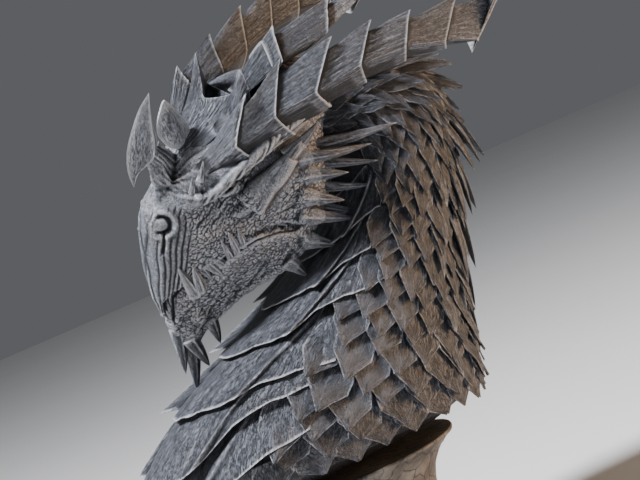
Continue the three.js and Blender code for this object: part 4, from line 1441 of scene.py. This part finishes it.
def bust_paint():
    material = bpy.data.materials.new("painted_resin")
    nodes = Nodes(material)
    # raised holds the drybrushed paint and the painted shade in broad hollows.
    raised = nodes.add("ShaderNodeAttribute", attribute_name="raised").outputs["Fac"]
    broken = nodes.noise(900, 6, 0.7)
    stretch = nodes.add("ShaderNodeVectorMath", operation="MULTIPLY")
    nodes.join(nodes.add("ShaderNodeAttribute", attribute_name="grain").outputs["Vector"], stretch.inputs[0])
    stretch.inputs[1].default_value = (1.0, 0.13, 1.0)
    wander = nodes.add("ShaderNodeVectorMath", operation="MULTIPLY_ADD")
    nodes.join(nodes.place, wander.inputs[0])
    wander.inputs[1].default_value = (90.0, 90.0, 90.0)
    nodes.join(stretch.outputs[0], wander.inputs[2])
    streak = nodes.noise(200, 5, 0.6, 0.6)
    fibre = nodes.noise(1.7, 4, 0.6, 0.3, wander.outputs[0])
    furrow = nodes.span(nodes.sum("ABSOLUTE", nodes.sum("SUBTRACT", fibre, 0.5), 0), 0.0, 0.055)
    # The rim attribute: nearness to worn edges, and painted shade below 0.
    edge = nodes.add("ShaderNodeAttribute", attribute_name="rim").outputs["Fac"]
    worn = nodes.shifted(edge, broken, 0.5, 0.26)
    line = nodes.span(worn, 0.88, 1.0)
    # Painted shade where the rim attribute is below 0.
    shade = nodes.span(edge, -0.9, -0.05, 1.0, 0.0)
    level = nodes.shifted(raised, broken, 0.5, 0.5)
    level = nodes.shifted(level, streak, 0.5, 0.16)
    level = nodes.shifted(level, furrow, 0.7, 0.3)
    level = nodes.shifted(level, fibre, 0.5, 0.22)
    level = nodes.shifted(level, line, 0.0, 0.24)
    level = nodes.shifted(level, shade, 0.0, -0.45)
    base = nodes.shades(
        level,
        [
            (0.1, (0.004, 0.0045, 0.006)),
            (0.3, (0.013, 0.014, 0.018)),
            (0.42, (0.037, 0.039, 0.048)),
            (0.56, (0.099, 0.103, 0.119)),
            (0.72, (0.232, 0.237, 0.255)),
            (0.95, (0.42, 0.42, 0.43)),
        ],
    )
    warm = nodes.span(nodes.noise(70, 3, 0.5), 0.5, 0.72)
    tone = nodes.mix(nodes.sum("MULTIPLY", warm, 0.35), base, (1.0, 0.86, 0.72), "MULTIPLY")
    nodes.join(tone, nodes.shader.inputs["Base Color"])
    nodes.join(nodes.span(broken, 0.3, 0.7, 0.42, 0.62), nodes.shader.inputs["Roughness"])
    nodes.shader.inputs["Specular IOR Level"].default_value = 0.45
    cut = nodes.sum("MULTIPLY", nodes.sum("ADD", furrow, fibre), 1.1)
    grain = nodes.sum("ADD", nodes.noise(1500, 4, 0.6), cut)
    nodes.bump(grain, 0.75, 0.0004)
    return material


def pedestal_paint():
    material = bpy.data.materials.new("painted_socle")
    nodes = Nodes(material)
    cells = nodes.add("ShaderNodeTexVoronoi", feature="DISTANCE_TO_EDGE")
    cells.inputs["Scale"].default_value = 120
    bent = nodes.add("ShaderNodeVectorMath", operation="MULTIPLY_ADD")
    wave = nodes.add("ShaderNodeTexNoise")
    wave.inputs["Scale"].default_value = 120
    nodes.join(nodes.place, wave.inputs["Vector"])
    nodes.join(wave.outputs[1], bent.inputs[0])
    bent.inputs[1].default_value = (0.006, 0.006, 0.006)
    nodes.join(nodes.place, bent.inputs[2])
    nodes.join(bent.outputs[0], cells.inputs["Vector"])
    crack = nodes.span(cells.outputs["Distance"], 0.0, 0.05)
    blotch = nodes.noise(75, 6, 0.65)
    base = nodes.shades(
        blotch,
        [(0.3, (0.034, 0.028, 0.023)), (0.5, (0.088, 0.073, 0.06)), (0.72, (0.19, 0.163, 0.134))],
    )
    tone = nodes.mix(crack, (0.022, 0.017, 0.014), base)
    nodes.join(tone, nodes.shader.inputs["Base Color"])
    nodes.join(nodes.span(blotch, 0.3, 0.7, 0.5, 0.72), nodes.shader.inputs["Roughness"])
    nodes.bump(nodes.sum("ADD", crack, nodes.noise(500, 4)), 0.5, 0.0004)
    return material


def eye_paint():
    material = bpy.data.materials.new("painted_eye")
    nodes = Nodes(material)
    dark = nodes.mix(nodes.noise(300), (0.008, 0.006, 0.005), (0.03, 0.02, 0.012))
    nodes.join(dark, nodes.shader.inputs["Base Color"])
    nodes.shader.inputs["Roughness"].default_value = 0.12
    return material


def floor_paint():
    material = bpy.data.materials.new("pale_floor")
    nodes = Nodes(material)
    pale = nodes.mix(nodes.noise(6, 2), (0.72, 0.71, 0.69), (0.76, 0.75, 0.73))
    nodes.join(pale, nodes.shader.inputs["Base Color"])
    nodes.shader.inputs["Roughness"].default_value = 0.85
    return material


paint_bust = bust_paint()
paint_pedestal = pedestal_paint()
paint_eye = eye_paint()
paint_floor = floor_paint()


# Floor, lights and camera

FLOOR_HALF = 2600
FLOOR_DEPTH = 12
# Name, place in metres right of, above and before what the camera aims at, size, power and colour
LIGHTS = [
    ("key", (-0.8, 0.62, 0.34), 0.25, 40, (0.9, 0.93, 1.0)),
    ("fill", (-0.7, -0.1, 0.8), 0.9, 1.5, (0.93, 0.96, 1.0)),
    ("warm", (0.86, 0.22, -0.1), 0.4, 19, (1.0, 0.66, 0.38)),
]
SKY_COLOUR = (0.8, 0.83, 0.88, 1)
SKY_STRENGTH = 0.14


def lamp(name, place, aim, size, power, colour):
    """A round soft light at a place, turned towards what it lights."""
    light = bpy.data.lights.new(name, "AREA")
    light.shape = "DISK"
    light.size = size
    light.energy = power
    light.color = colour
    made = bpy.data.objects.new(name, light)
    bpy.context.scene.collection.objects.link(made)
    made.location = place.tolist()
    made.rotation_euler = Vector((aim - place).tolist()).to_track_quat("-Z", "Y").to_euler()


def studio_sky():
    world = bpy.data.worlds.new("studio")
    world.use_nodes = True
    sky = world.node_tree.nodes["Background"]
    sky.inputs[0].default_value = SKY_COLOUR
    sky.inputs[1].default_value = SKY_STRENGTH
    bpy.context.scene.world = world


def studio_floor():
    """A pale slab whose top is level with the pedestal's underside."""
    corners = [(-1, -1), (1, -1), (1, 1), (-1, 1)]
    heights = (-FLOOR_DEPTH - SEAT, -SEAT)
    shells = Shells()
    shells.tube([[(x * FLOOR_HALF, y * FLOOR_HALF, z) for x, y in corners] for z in heights])
    return shells.piece("studio_floor", paint_floor, False)


def studio_camera():
    """The photograph's camera, rolled as it was. Its right, up and back directions are returned."""
    back = np.array(
        [
            math.sin(CAMERA_AZIMUTH) * math.cos(CAMERA_ELEVATION),
            -math.cos(CAMERA_AZIMUTH) * math.cos(CAMERA_ELEVATION),
            math.sin(CAMERA_ELEVATION),
        ]
    )
    level = np.array([math.cos(CAMERA_AZIMUTH), math.sin(CAMERA_AZIMUTH), 0.0])
    rise = np.cross(back, level)
    right = level * math.cos(CAMERA_ROLL) - rise * math.sin(CAMERA_ROLL)
    up = level * math.sin(CAMERA_ROLL) + rise * math.cos(CAMERA_ROLL)
    lens = bpy.data.cameras.new("studio_camera")
    lens.sensor_width = SENSOR
    lens.lens = FOCAL
    lens.clip_start = 0.01
    camera = bpy.data.objects.new("studio_camera", lens)
    bpy.context.scene.collection.objects.link(camera)
    place = (CAMERA_AIM + back * CAMERA_DISTANCE) * MM
    camera.matrix_world = Matrix.Translation(Vector(place.tolist())) @ Matrix(
        np.stack([right, up, back], axis=1).tolist()
    ).to_4x4()
    bpy.context.scene.camera = camera
    return right, up, back


for made in (smooth_hide(), neck_scales(), throat_plates(), back_spines(), head_skin(), face_spikes(),
             teeth(), horns(), crest(), nose_horn(), eyes()):
    if made.name != "eyes":
        drybrush_and_shade(made)
    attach(made, "root")
    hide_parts("bust")
socle = pedestal()
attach(socle, "root")
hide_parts("pedestal")

studio_floor()
right, up, back = studio_camera()
for name, (aside, above, towards), size, power, colour in LIGHTS:
    aim = CAMERA_AIM * MM
    lamp(name, aim + right * aside + up * above + back * towards, aim, size, power, colour)
studio_sky()
